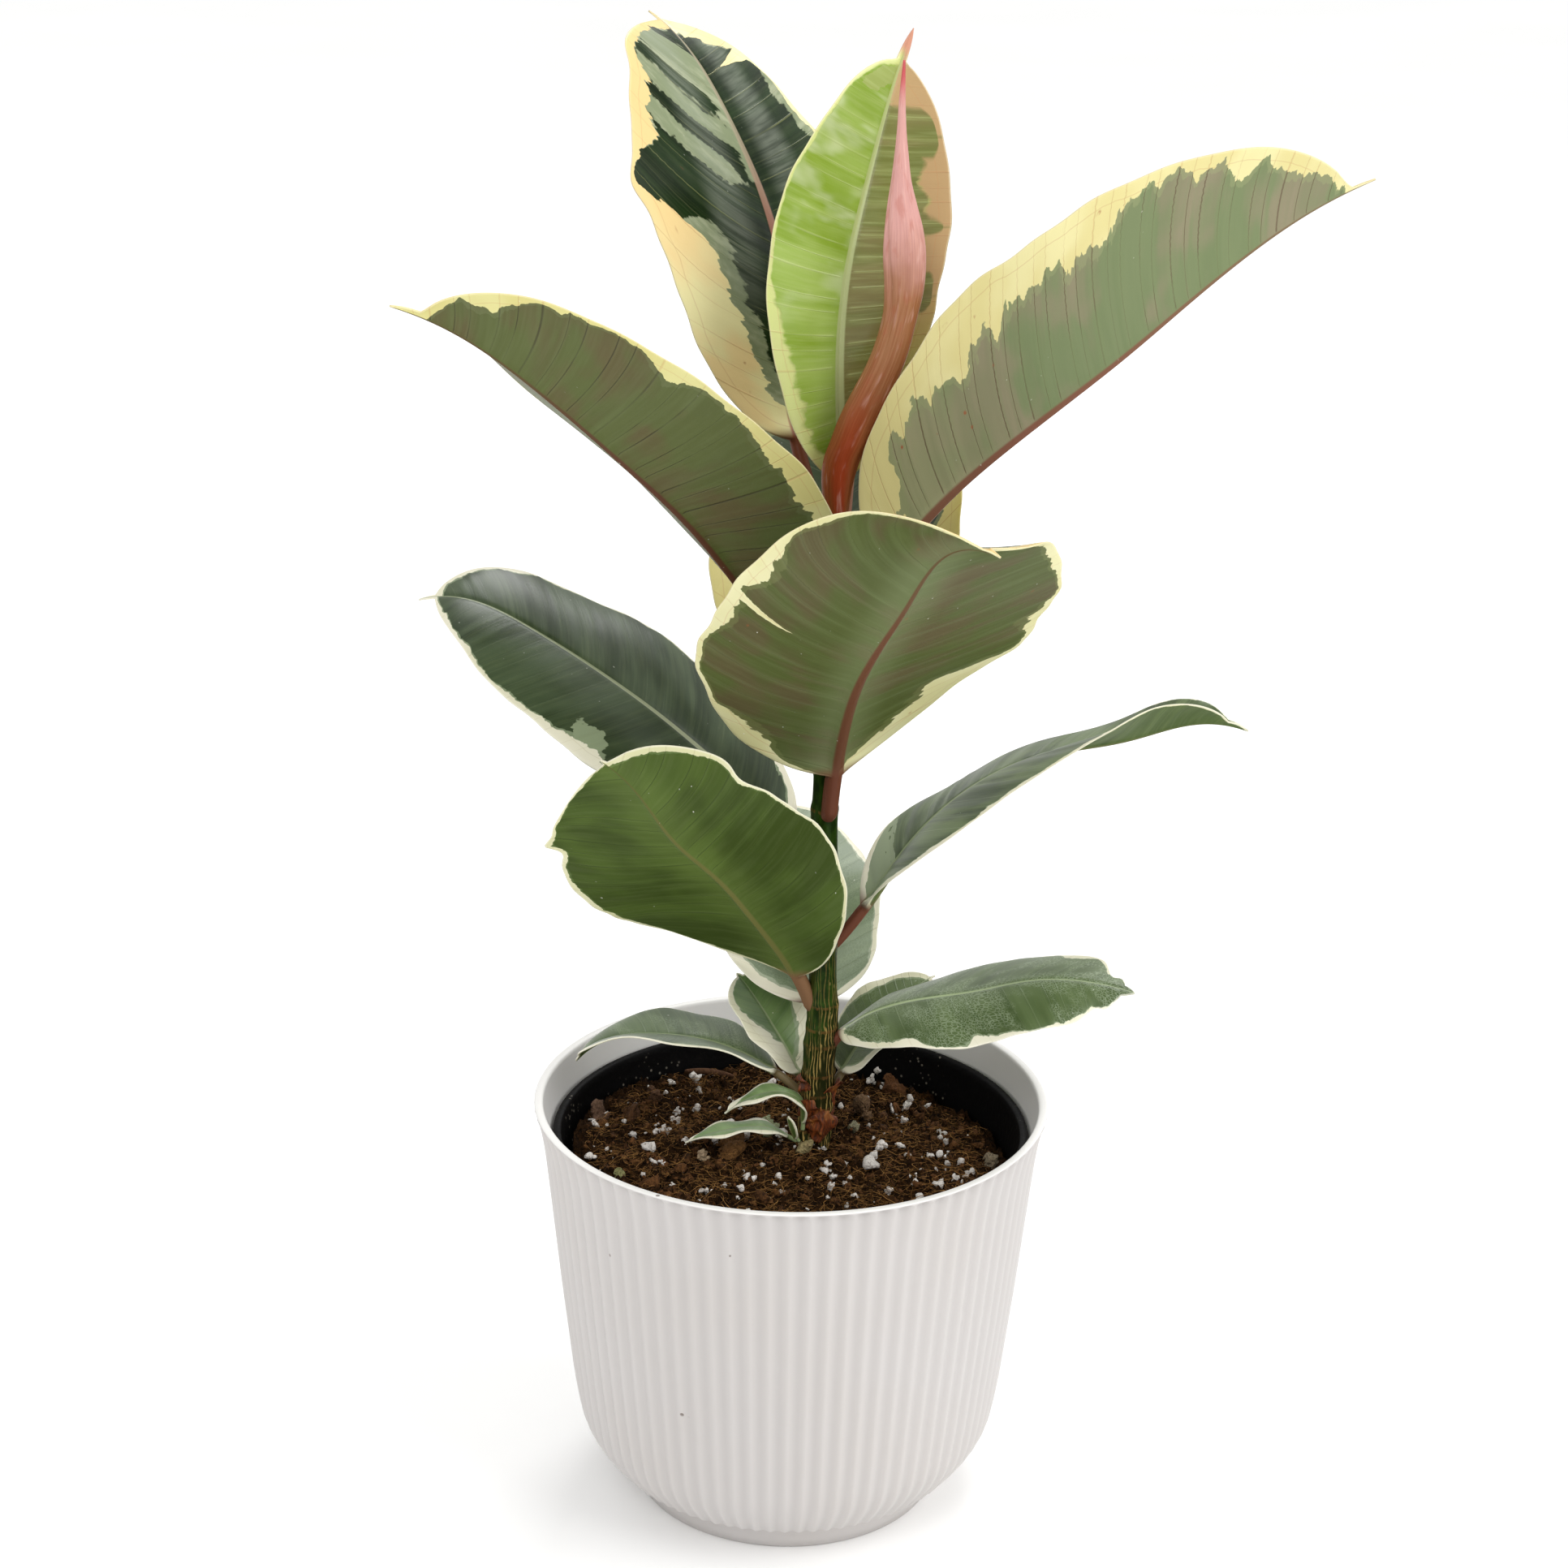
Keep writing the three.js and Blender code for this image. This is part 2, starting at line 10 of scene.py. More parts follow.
import bpy
import numpy as np
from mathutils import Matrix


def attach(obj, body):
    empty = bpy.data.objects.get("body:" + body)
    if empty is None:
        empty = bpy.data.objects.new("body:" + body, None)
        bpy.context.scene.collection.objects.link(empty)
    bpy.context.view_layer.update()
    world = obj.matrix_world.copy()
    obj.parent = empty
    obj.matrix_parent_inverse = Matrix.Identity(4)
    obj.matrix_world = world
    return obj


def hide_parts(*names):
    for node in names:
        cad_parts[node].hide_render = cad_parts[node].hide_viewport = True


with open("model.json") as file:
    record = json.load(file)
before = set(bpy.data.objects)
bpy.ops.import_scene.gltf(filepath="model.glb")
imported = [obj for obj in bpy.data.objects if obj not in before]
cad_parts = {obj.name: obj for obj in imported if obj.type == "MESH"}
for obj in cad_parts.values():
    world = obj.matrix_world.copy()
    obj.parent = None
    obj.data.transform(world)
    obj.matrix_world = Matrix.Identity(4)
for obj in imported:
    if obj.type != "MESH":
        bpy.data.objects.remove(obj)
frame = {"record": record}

bl_info = {
    "name": "Potted Rubber Plant",
    "version": (1, 0, 0),
    "blender": (4, 5, 0),
    "location": "3D View > Sidebar > Plant",
    "description": "Builds a variegated rubber plant in a fluted pot around its CAD frame",
    "category": "Add Mesh",
}

MM = 0.001
TURN = 2 * math.pi

# Side of the square photograph in pixels.
PICTURE_SIZE = 1932

# Cover pot and grow pot, in millimetres, as in the CAD part. The grow pot's rim stands out
# from its wall by GROW_BEAD.
FLUTES = 80
WALL = 2.2
RIM_WIDTH = 2.6
FOOT_RADIUS = 43.4
FOOT_TOP_RADIUS = 45.2
STEP_HEIGHT = 9.2
FOOT_FLOOR = 2.6
BODY_PROFILE = np.array([
    [51.1, 9.8], [53.8, 13.1], [57.3, 17.5], [60, 23.1], [62, 35.5],
    [65.4, 65], [68.8, 98.1], [70, 109.2], [71.3, 115.8],
])
GROW_RIM_RADIUS = 67.2
GROW_BEAD = 1.2
GROW_TOP = 111.0
GROW_SEAT = 11.7
GROW_BASE_RADIUS = 46.5

# The root ball's surface: a tilted plane with a mound round the stem. What lies on it ends
# inside PEAT_EDGE, and stays clear of the stem.
SOIL_LEVEL = 102.5
SOIL_TILT = (-0.05, -0.045)
MOUND_HEIGHT = 3.0
MOUND_RADIUS = 15.0
CLOD_HEIGHT = 0.9
PEAT_EDGE = 60
STEM_CLEARANCE = 6.5

# The stem's centre line as [x, height], and its radius at the same heights.
STEM_LINE = np.array([[6, 70], [6.2, 95], [6.7, 107.6], [8.4, 145.4], [7.9, 203.6], [10.5, 288.5]])
STEM_RADII = np.array([3.4, 4.4, 4.6, 4.2, 3.5, 2.8])

# The bud sheath, from its foot up: [x, y, height, half width, half depth].
SHEATH = np.array([
    [9.6, -1.2, 288.9, 2.8, 2.8], [9.4, -4.0, 298, 4.0, 2.9], [10.4, -5.8, 305.5, 4.8, 3.1],
    [12.6, -7.2, 311.5, 5.2, 3.2], [15.8, -8.3, 319.7, 5.5, 3.1], [21.6, -9.4, 333.5, 4.8, 2.8],
    [24.4, -9.5, 344, 4.5, 2.6], [25.4, -9.5, 352, 5.1, 2.5], [25.3, -9.5, 360, 5.5, 2.3],
    [25.0, -9.1, 366.5, 5.0, 2.0], [24.4, -8.5, 373, 3.8, 1.7], [24.0, -8.0, 379, 2.6, 1.5],
    [23.9, -7.5, 385.6, 1.8, 1.2], [23.8, -6.9, 392, 1.2, 0.9], [23.8, -6.2, 400, 0.8, 0.7],
    [24.1, -5.2, 408.5, 0.3, 0.3],
])

# The side shoot, listed in the same way.
SHOOT = np.array([
    [4, -5.9, 105.5, 1.3, 1.3], [3.9, -5.9, 108, 1.4, 1.4], [3.8, -6, 110, 1.4, 1.4],
    [3.6, -6.1, 112.2, 1, 1],
])


def srgb(text):
    """A colour written as six hex digits, as the four linear numbers that a shader takes."""
    part = np.array([int(text[i:i + 2], 16) for i in (0, 2, 4)]) / 255
    low, high = part / 12.92, ((part + 0.055) / 1.055) ** 2.4
    return (*np.where(part <= 0.04045, low, high), 1.0)


def shaded(colour, factor):
    """A linear colour times one factor, or times a factor for each of red, green and blue."""
    return (*(np.array(colour[:3]) * factor), 1.0)


def smoothstep(x, low, high):
    """Rises from 0 at low to 1 at high along 3t^2 - 2t^3."""
    t = np.clip((x - low) / (high - low), 0, 1)
    return t * t * (3 - 2 * t)


def along(values, s):
    """A Catmull-Rom curve through values at equal steps, at shares s from 0 to 1."""
    values = np.asarray(values, float)
    if len(values) == 1:
        return np.full(np.shape(s), values[0])
    last = len(values) - 1
    x = np.clip(s, 0, 1) * last
    i = np.minimum(x.astype(int), last - 1)
    t = x - i
    padded = np.concatenate([[2 * values[0] - values[1]], values, [2 * values[-1] - values[-2]]])
    a, b, c, d = (padded[i + k] for k in range(4))
    cubic, square = 3 * b - a - 3 * c + d, 2 * a - 5 * b + 4 * c - d
    return 0.5 * (2 * b + (c - a) * t + square * t ** 2 + cubic * t ** 3)


def ripples(points, length, seed):
    """A smooth random height: the sum of 20 plane waves of one length, in random directions."""
    rng = np.random.default_rng(seed)
    count = 20
    heading = rng.normal(size=(count, points.shape[-1]))
    heading /= np.linalg.norm(heading, axis=1, keepdims=True)
    phase = rng.uniform(0, TURN, count)
    return np.sin(points @ heading.T * (TURN / length) + phase).sum(-1) * math.sqrt(2 / count)


def grid_faces(rows, columns):
    """The quads of a grid whose columns close on themselves, as rows of four corners."""
    row, column = np.meshgrid(np.arange(rows - 1), np.arange(columns), indexing="ij")
    here, there = row * columns + column, row * columns + (column + 1) % columns
    return np.stack([here, there, there + columns, here + columns], -1).reshape(-1, 4)


def ring_angles(columns):
    """The angles of a ring's columns."""
    return np.arange(columns) * TURN / columns


def copied_faces(parts, count, size):
    """Faces repeated for count like shapes of size points each."""
    faces = []
    for part in parts:
        shifted = part[None] + np.arange(count)[:, None, None] * size
        faces += shifted.reshape(-1, part.shape[1]).tolist()
    return faces


def fan_faces(ring, centre, inward):
    """The triangles between a ring of corners and one point."""
    following = np.roll(ring, -1)
    pair = (following, ring) if inward else (ring, following)
    return np.stack([*pair, np.full(len(ring), centre)], -1)


def tube_skin(rings):
    """A closed skin over rings of points, [rows, columns, 3]: walls, and a fan at each end."""
    rows, columns = rings.shape[:2]
    points = np.concatenate([rings.reshape(-1, 3), [rings[0].mean(0), rings[-1].mean(0)]])
    count = rows * columns
    first = fan_faces(np.arange(columns), count, True)
    last = fan_faces(np.arange(count - columns, count), count + 1, False)
    return points, [*grid_faces(rows, columns).tolist(), *first.tolist(), *last.tolist()]


def add_object(name, data):
    made = bpy.data.objects.new(name, data)
    bpy.context.scene.collection.objects.link(made)
    return made


def piece(name, points, faces, material, slot, replaces=(), fields=None):
    """A mesh object from points in millimetres, riding on the frame's one body.

    fields are numbers or triples at the points that its material reads, by name.
    """
    mesh = bpy.data.meshes.new(name)
    mesh.from_pydata((np.asarray(points) * MM).tolist(), [], faces)
    for key, values in (fields or {}).items():
        values = np.asarray(values, float)
        kind, where = ("FLOAT", "value") if values.ndim == 1 else ("FLOAT_VECTOR", "vector")
        mesh.attributes.new(key, kind, "POINT").data.foreach_set(where, values.ravel())
    mesh.shade_smooth()
    mesh.materials.append(material)
    made = add_object(name, mesh)
    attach(made, "root")
    if replaces:
        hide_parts(*replaces)


class Value:
    """A socket that carries a number. Arithmetic on it adds Math nodes."""

    def __init__(self, finish, socket):
        self.finish, self.socket = finish, socket

    def math(self, operation, *others):
        inputs = dict(enumerate([self, *others]))
        made = self.finish.node("ShaderNodeMath", {"operation": operation}, inputs)
        return Value(self.finish, made.outputs[0])

    def __add__(self, other):
        return self.math("ADD", other)

    def __sub__(self, other):
        return self.math("SUBTRACT", other)

    def __mul__(self, other):
        return self.math("MULTIPLY", other)

    def __truediv__(self, other):
        return self.math("DIVIDE", other)

    def __rsub__(self, other):
        return self * -1 + other

    __radd__ = __add__
    __rmul__ = __mul__

    def size(self):
        return self.math("ABSOLUTE")

    def step(self, low, high):
        """Rises smoothly from 0 at low to 1 at high."""
        made = self.finish.node(
            "ShaderNodeMapRange", {"interpolation_type": "SMOOTHSTEP"},
            {"Value": self, "From Min": low, "From Max": high},
        )
        return Value(self.finish, made.outputs[0])


class Nodes:
    """A node tree that starts empty, and the one method that adds nodes to it."""

    def __init__(self, tree):
        self.tree = tree
        tree.nodes.clear()

    def node(self, kind, settings=None, inputs=None):
        """Adds a node, sets its settings, then fills or links its sockets.

        Text for a socket is a colour's six hex digits, and None leaves the socket as it is.
        """
        made = self.tree.nodes.new(kind)
        for key, value in (settings or {}).items():
            setattr(made, key, value)
        for key, value in (inputs or {}).items():
            source = value.socket if isinstance(value, Value) else value
            if isinstance(source, bpy.types.NodeSocket):
                self.tree.links.new(source, made.inputs[key])
            elif source is not None:
                made.inputs[key].default_value = srgb(source) if isinstance(source, str) else source
        return made


class Finish(Nodes):
    """One procedural material."""

    def __init__(self, name):
        self.material = bpy.data.materials.new(name)
        self.material.use_nodes = True
        super().__init__(self.material.node_tree)

    def place(self):
        """Object coordinates, in metres."""
        return self.node("ShaderNodeTexCoord").outputs["Object"]

    def number(self, name):
        """A number field of the mesh."""
        source = self.node("ShaderNodeAttribute", {"attribute_name": name})
        return Value(self, source.outputs["Fac"])

    def field(self, name):
        """The three numbers of a vector field of the mesh."""
        source = self.node("ShaderNodeAttribute", {"attribute_name": name})
        return self.parts(source.outputs["Vector"])

    def parts(self, vector):
        made = self.node("ShaderNodeSeparateXYZ", None, {0: vector})
        return [Value(self, socket) for socket in made.outputs]

    def vector(self, x, y, z=0.0):
        return self.node("ShaderNodeCombineXYZ", None, {0: x, 1: y, 2: z}).outputs[0]

    def noise(self, vector, scale, detail=2.0, roughness=0.5):
        inputs = {"Vector": vector, "Scale": scale, "Detail": detail, "Roughness": roughness}
        return Value(self, self.node("ShaderNodeTexNoise", None, inputs).outputs[0])

    def cells(self, vector, scale, feature="F1"):
        """Distance from the nearest of randomly placed points, or from a cell's border."""
        inputs = {"Vector": vector, "Scale": scale}
        made = self.node("ShaderNodeTexVoronoi", {"feature": feature}, inputs)
        return Value(self, made.outputs["Distance"])

    def mix(self, factor, first, second):
        """A colour between two colours."""
        inputs = {0: factor, 6: first, 7: second}
        settings = {"data_type": "RGBA", "clamp_factor": True}
        return self.node("ShaderNodeMix", settings, inputs).outputs[2]

    def mix_value(self, factor, first, second):
        """A number between two numbers."""
        return factor * (second - first) + first

    def bump(self, height, distance, strength=1.0, under=None):
        return self.node("ShaderNodeBump", None, {
            "Height": height, "Distance": distance, "Strength": strength, "Normal": under,
        }).outputs[0]

    def surface(self, colour, roughness, normal=None, specular=0.5):
        """Ends the material in a Principled shader."""
        shader = self.node("ShaderNodeBsdfPrincipled", None, {
            "Base Color": colour, "Roughness": roughness, "Normal": normal,
            "Specular IOR Level": specular,
        })
        self.node("ShaderNodeOutputMaterial", None, {"Surface": shader.outputs[0]})
        return self.material


class PotSettings(bpy.types.PropertyGroup):
    height: bpy.props.FloatProperty(
        name="Height", description="Height of the cover pot", default=0.1202, unit="LENGTH")
    rim_radius: bpy.props.FloatProperty(
        name="Rim radius", description="Outer radius of the rim", default=0.0725, unit="LENGTH")
    flute_depth: bpy.props.FloatProperty(
        name="Flute depth", description="How deep the flutes are", default=0.0008, unit="LENGTH")
    colour: bpy.props.FloatVectorProperty(
        name="Colour", description="Colour of the cover pot", subtype="COLOR", size=4,
        default=srgb("c7c3c1"), min=0, max=1)
    grow_colour: bpy.props.FloatVectorProperty(
        name="Grow pot colour", description="Colour of the inner pot", subtype="COLOR", size=4,
        default=srgb("060505"), min=0, max=1)


def pot_finish(colour):
    """Satin off-white plastic with faint mottling and specks; painted shade darkens the flutes'
    valleys, and painted light makes the inside lighter.
    """
    f = Finish("white_pot_plastic")
    place = f.place()
    mottle = f.noise(place, 22, 3)
    warm = f.mix(mottle.step(0.3, 0.75), colour, shaded(colour, [0.985, 0.975, 0.96]))
    speck = 1 - f.cells(place, 110).step(0.055, 0.075)
    rare = f.noise(place, 60, 1).step(0.63, 0.65)
    inside, valley, _ = f.field("zone")
    # Painted shade: a darker copy of the pot colour, mixed in by each flute's valley share.
    painted_valley_shade = f.mix(valley * 0.5, warm, shaded(colour, [0.84, 0.835, 0.835]))
    # Painted light: the inside takes a lighter colour than the outside, to offset its shade.
    lit_inside_and_shaded_valleys = f.mix(inside, painted_valley_shade, "efedea")
    specked = f.mix(speck * rare * 0.75, lit_inside_and_shaded_valleys, "5d4a40")
    grain = f.noise(place, 1400, 2)
    wave = f.noise(place, 130, 1)
    normal = f.bump(grain * 0.25 + wave * 0.75, 0.00012, 0.6)
    return f.surface(specked, 0.36 + 0.12 * mottle, normal, 0.45)


def black_finish(colour):
    """Black plastic with dust and dried splashes."""
    f = Finish("black_pot_plastic")
    place = f.place()
    dust = f.noise(place, 90, 5, 0.7).step(0.55, 0.8)
    spot = (1 - f.cells(place, 520).step(0.12, 0.26)) * f.noise(place, 45, 3).step(0.52, 0.6)
    grey = f.mix(dust * 0.2, colour, "2e2620")
    spotted = f.mix(spot * 0.7, grey, "8f887c")
    relief = f.bump(f.noise(place, 500, 3), 0.0002)
    return f.surface(spotted, 0.55 + 0.3 * dust, relief, 0.1)


# Columns of the cover pot's skin for each flute, rows of its fluted body, and the grow pot's
# columns and rows.
FLUTE_COLUMNS = 10
BODY_ROWS = 52
GROW_COLUMNS = 192
GROW_ROWS = 12


def pot_skin(radii, heights, fluting, depth, columns):
    """A turned surface with flutes, from a profile of radii and heights.

    At angle a the radius is the profile's, less depth times fluting times
    ((1 - cos(flutes * a)) / 2) ** 0.8, which leaves narrow crests and broad valleys.
    """
    angle = ring_angles(columns)
    valley = (0.5 - 0.5 * np.cos(FLUTES * angle)) ** 0.8
    radius = radii[:, None] - depth * fluting[:, None] * valley
    heights = np.repeat(heights[:, None], columns, 1)
    return tube_skin(np.stack([radius * np.cos(angle), radius * np.sin(angle), heights], -1))


def cover_pot_profile(height, rim):
    """Rows of [radius, height, fluting] from under the foot, up the outside, over the rim and
    down the inside: a polyline whose body is smoothed three times.
    """
    t = np.linspace(0, 1, BODY_ROWS)
    reach = np.concatenate([[0], np.cumsum(np.hypot(*np.diff(BODY_PROFILE, axis=0).T))])
    spots = t * reach[-1]
    body = np.stack([np.interp(spots, reach, BODY_PROFILE[:, k]) for k in (0, 1)], -1)
    for _ in range(3):
        body[1:-1] = (body[:-2] + 2 * body[1:-1] + body[2:]) / 4
    lip = height - 2
    outside = [
        [30, 0.6, 0], [FOOT_RADIUS - 1.2, 0.5, 0], [FOOT_RADIUS - 0.5, 0, 0], [FOOT_RADIUS, 0.3, 0],
        [FOOT_RADIUS + 0.9, STEP_HEIGHT / 2, 0], [FOOT_TOP_RADIUS, STEP_HEIGHT - 0.6, 0],
        [FOOT_TOP_RADIUS + 0.3, STEP_HEIGHT - 0.1, 0], [47.5, STEP_HEIGHT, 0.15],
        [49.6, STEP_HEIGHT + 0.1, 0.8], [50.6, STEP_HEIGHT + 0.3, 1],
        *[[radius, z, 1] for radius, z in body],
        [rim - 0.7, lip - 0.6, 1.3], [rim - 0.35, lip + 0.3, 1.8], [rim - 0.1, lip + 0.9, 1.8],
        [rim, lip + 1.2, 1.2], [rim, lip + 1.45, 0.4], [rim - 0.05, lip + 1.65, 0],
        [rim - 0.2, height - 0.1, 0], [rim - 0.5, height, 0],
        [rim - RIM_WIDTH + 0.6, height, 0], [rim - RIM_WIDTH + 0.1, height - 0.35, 0],
        [rim - RIM_WIDTH, height - 1.2, 0],
    ]
    inner = body[::-4]
    drop = WALL * np.maximum(0, 1 - inner[:, 1] / 30)
    inside = [
        [radius - WALL, z + d, 0] for (radius, z), d in zip(inner, drop) if z < height - 5]
    floor = [
        [48.4, STEP_HEIGHT + WALL, 0], [FOOT_TOP_RADIUS - WALL, STEP_HEIGHT + WALL - 0.4, 0],
        [FOOT_RADIUS - WALL, FOOT_FLOOR + 0.4, 0], [FOOT_RADIUS - WALL - 1, FOOT_FLOOR, 0],
        [20, FOOT_FLOOR, 0],
    ]
    return np.array([*outside, *inside, *floor])


def grow_pot_profile():
    """Rows of [radius, height] up the grow pot's tapered wall, over its rim bead and back down."""
    top, rim = GROW_TOP, GROW_RIM_RADIUS
    wall = np.stack([
        GROW_BASE_RADIUS + (rim - GROW_BEAD - GROW_BASE_RADIUS) * np.linspace(0, 1, GROW_ROWS),
        np.linspace(GROW_SEAT, top - 3.5, GROW_ROWS)], -1)
    return np.array([
        [20, GROW_SEAT], *wall, [rim - 0.3, top - 3.5], [rim, top - 3.2],
        [rim, top - 0.4], [rim - 0.3, top], [rim - 1.9, top], [rim - 2.2, top - 0.4],
        *(wall + [-1, 1])[::-1], [20, GROW_SEAT + 1],
    ])


class PLANT_OT_pots(bpy.types.Operator):
    """Builds the fluted cover pot and the plain black grow pot inside it"""
    bl_idname = "plant.pots"
    bl_label = "Pots"

    def execute(self, context):
        settings = context.scene.plant_pot
        height, columns = settings.height / MM, FLUTE_COLUMNS * FLUTES
        profile = cover_pot_profile(height, settings.rim_radius / MM)
        points, faces = pot_skin(*profile.T, settings.flute_depth / MM, columns)
        past_lip = np.arange(len(profile)) > np.argmax(profile[:, 1] > height - 0.4)
        inside = np.concatenate([np.repeat(past_lip, columns), [0, 1]])
        # The zone field: 1 inside the pot, then each flute's valley share, which carries painted
        # shade.
        turn = np.cos(np.arange(columns) * TURN / FLUTE_COLUMNS)
        valley = np.clip(profile[:, 2:], 0, 1) * (0.5 - 0.5 * turn)
        valley = np.concatenate([valley.ravel(), [0, 0]])
        zone = np.stack([inside, valley, 0 * valley], -1)
        finish = pot_finish(settings.colour)
        piece("cover_pot", points, faces, finish, "white_plastic", ["outer_pot"], {"zone": zone})

        radii, heights = grow_pot_profile().T
        points, faces = pot_skin(radii, heights, radii * 0, 0, GROW_COLUMNS)
        finish = black_finish(settings.grow_colour)
        piece("grow_pot", points, faces, finish, "black_plastic", ["nursery_pot"])
        return {"FINISHED"}


class SoilSettings(bpy.types.PropertyGroup):
    colour: bpy.props.FloatVectorProperty(
        name="Peat colour", description="Colour of the peat", subtype="COLOR", size=4,
        default=srgb("34200d"), min=0, max=1)
    perlite_colour: bpy.props.FloatVectorProperty(
        name="Perlite colour", description="Colour of the perlite", subtype="COLOR", size=4,
        default=srgb("dcd6cf"), min=0, max=1)
    perlite: bpy.props.IntProperty(
        name="Perlite", description="How many small perlite grains lie on the peat", default=210)
    crumbs: bpy.props.IntProperty(
        name="Crumbs", description="How many peat crumbs lie on the peat", default=3400)
    fibres: bpy.props.IntProperty(
        name="Fibres", description="How many fibres lie on the peat", default=3600)


def stem_at(height):
    """The stem's centre x and its radius at a height, straight between the listed heights."""
    heights = STEM_LINE[:, 1]
    return np.interp(height, heights, STEM_LINE[:, 0]), np.interp(height, heights, STEM_RADII)


def soil_height(x, y):
    """The surface's height: a tilted plane, a bell-shaped mound round the stem and low clods."""
    stem = stem_at(SOIL_LEVEL)[0]
    mound = np.exp(-((x - stem) ** 2 + y ** 2) / (2 * MOUND_RADIUS ** 2))
    clods = np.sin(x / 5 + 1) * np.cos(y / 6.5) + 0.6 * np.sin(x / 3.1 - y / 4.3)
    tilt = SOIL_TILT[0] * x + SOIL_TILT[1] * y
    return SOIL_LEVEL + tilt + MOUND_HEIGHT * mound + CLOD_HEIGHT * clods


def crumbly_height(x, y):
    """soil_height roughened by ripples 9, 3.2 and 1.3 mm long, the first two folded into lumps."""
    p = np.stack([x, y], -1)
    lumps = np.abs(ripples(p, 9, 11)) * 0.9 + np.abs(ripples(p, 3.2, 12)) * 0.55
    return soil_height(x, y) + lumps + ripples(p, 1.3, 13) * 0.4 - 1.1


def soil_body():
    """The root ball: rings at shares of its edge whose height is crumbly_height, with a wall
    down to the grow pot's floor.
    """
    columns = 500
    angle = ring_angles(columns)
    taper = GROW_RIM_RADIUS - GROW_BEAD - GROW_BASE_RADIUS
    edge = GROW_BASE_RADIUS + taper * 0.86 - 1.35
    radius = edge * np.concatenate([[1.0], np.linspace(0.995, 0.02, 110) ** 0.8])
    x, y = radius[:, None] * np.cos(angle), radius[:, None] * np.sin(angle)
    top = np.stack([x, y, crumbly_height(x, y)], -1)
    top[0, :, 2] -= 6
    floor = np.full(columns, GROW_SEAT + 1.4)
    base = np.stack([np.cos(angle) * 45, np.sin(angle) * 45, floor], -1)
    return tube_skin(np.concatenate([base[None], top]))


def blobs(centres, sizes, roughness, seed, rows, columns):
    """Lumps: spheres of rows by columns, pushed in and out and stretched to three half sizes.

    At each point of the unit sphere the radius is 1 plus roughness times the sum of five waves
    that differ from lump to lump; the lump is then turned at random and put at its centre.
    """
    rng = np.random.default_rng(seed)
    count = len(centres)
    polar = np.arange(1, rows + 1) / (rows + 1) * math.pi
    angle = ring_angles(columns)
    ball = np.stack([
        np.sin(polar)[:, None] * np.cos(angle), np.sin(polar)[:, None] * np.sin(angle),
        np.cos(polar)[:, None] * np.ones(columns),
    ], -1).reshape(-1, 3)
    ball = np.concatenate([ball, [[0, 0, 1], [0, 0, -1]]])
    heading = rng.normal(size=(count, 5, 3)) * 2.2
    phase = rng.uniform(0, TURN, (count, 5, 1))
    swell = 1 + roughness * np.sin(heading @ ball.T + phase).sum(1)
    shape = ball[None] * swell[..., None] * sizes[:, None]
    first, second = rng.normal(size=(2, count, 3))
    first /= np.linalg.norm(first, axis=1, keepdims=True)
    second -= first * (first * second).sum(1, keepdims=True)
    second /= np.linalg.norm(second, axis=1, keepdims=True)
    turn = np.stack([first, second, np.cross(first, second)], 1)
    points = shape @ turn + centres[:, None]
    walls = grid_faces(rows, columns)[:, ::-1]
    last = rows * columns
    caps = [fan_faces(np.arange(columns), last, False),
            fan_faces(np.arange(last - columns, last), last + 1, True)]
    faces = copied_faces((walls, *caps), count, len(ball))
    shade = np.repeat(rng.uniform(0, 1, count), len(ball))
    return points.reshape(-1, 3), faces, shade


def threads(starts, headings, lengths, radii, bend, seed, rings=6, sides=3):
    """Fibres: at share t the middle is start + heading * length * t, with a sideways bow that
    follows sin(pi t) and sin(2 pi t) and a lift along sin(pi t); the tube is round, and its
    radius falls to both ends as 1 - 0.6 * (2t - 1) ** 2.
    """
    rng = np.random.default_rng(seed)
    count = len(starts)
    t = np.linspace(0, 1, rings)
    half_wave, full_wave = np.sin(math.pi * t), np.sin(TURN * t)
    across = np.stack([-headings[:, 1], headings[:, 0], np.zeros(count)], -1)
    bow = half_wave[None, :, None] * (bend * rng.normal(size=count) * lengths)[:, None, None]
    curl = full_wave[None, :, None] * (bend * rng.normal(size=count) * lengths)[:, None, None] / 2
    middle = starts[:, None] + headings[:, None] * (t[None, :, None] * lengths[:, None, None])
    middle = middle + across[:, None] * (bow + curl)
    middle[..., 2] += half_wave * (np.abs(rng.normal(size=count)) * 0.06 * lengths)[:, None]
    angle = ring_angles(sides)
    taper = radii[:, None] * (1 - 0.6 * np.abs(2 * t - 1) ** 2)
    side = across[:, None, None] * np.cos(angle)[None, None, :, None]
    rise = np.array([0, 0, 1.0]) * np.sin(angle)[None, None, :, None]
    points = middle[:, :, None] + (side + rise) * taper[..., None, None]
    size = rings * sides
    ends = np.array([np.arange(sides)[::-1], np.arange(size - sides, size)])
    faces = copied_faces((grid_faces(rings, sides), ends), count, size)
    return points.reshape(-1, 3), faces, np.repeat(rng.uniform(0, 1, count), size)


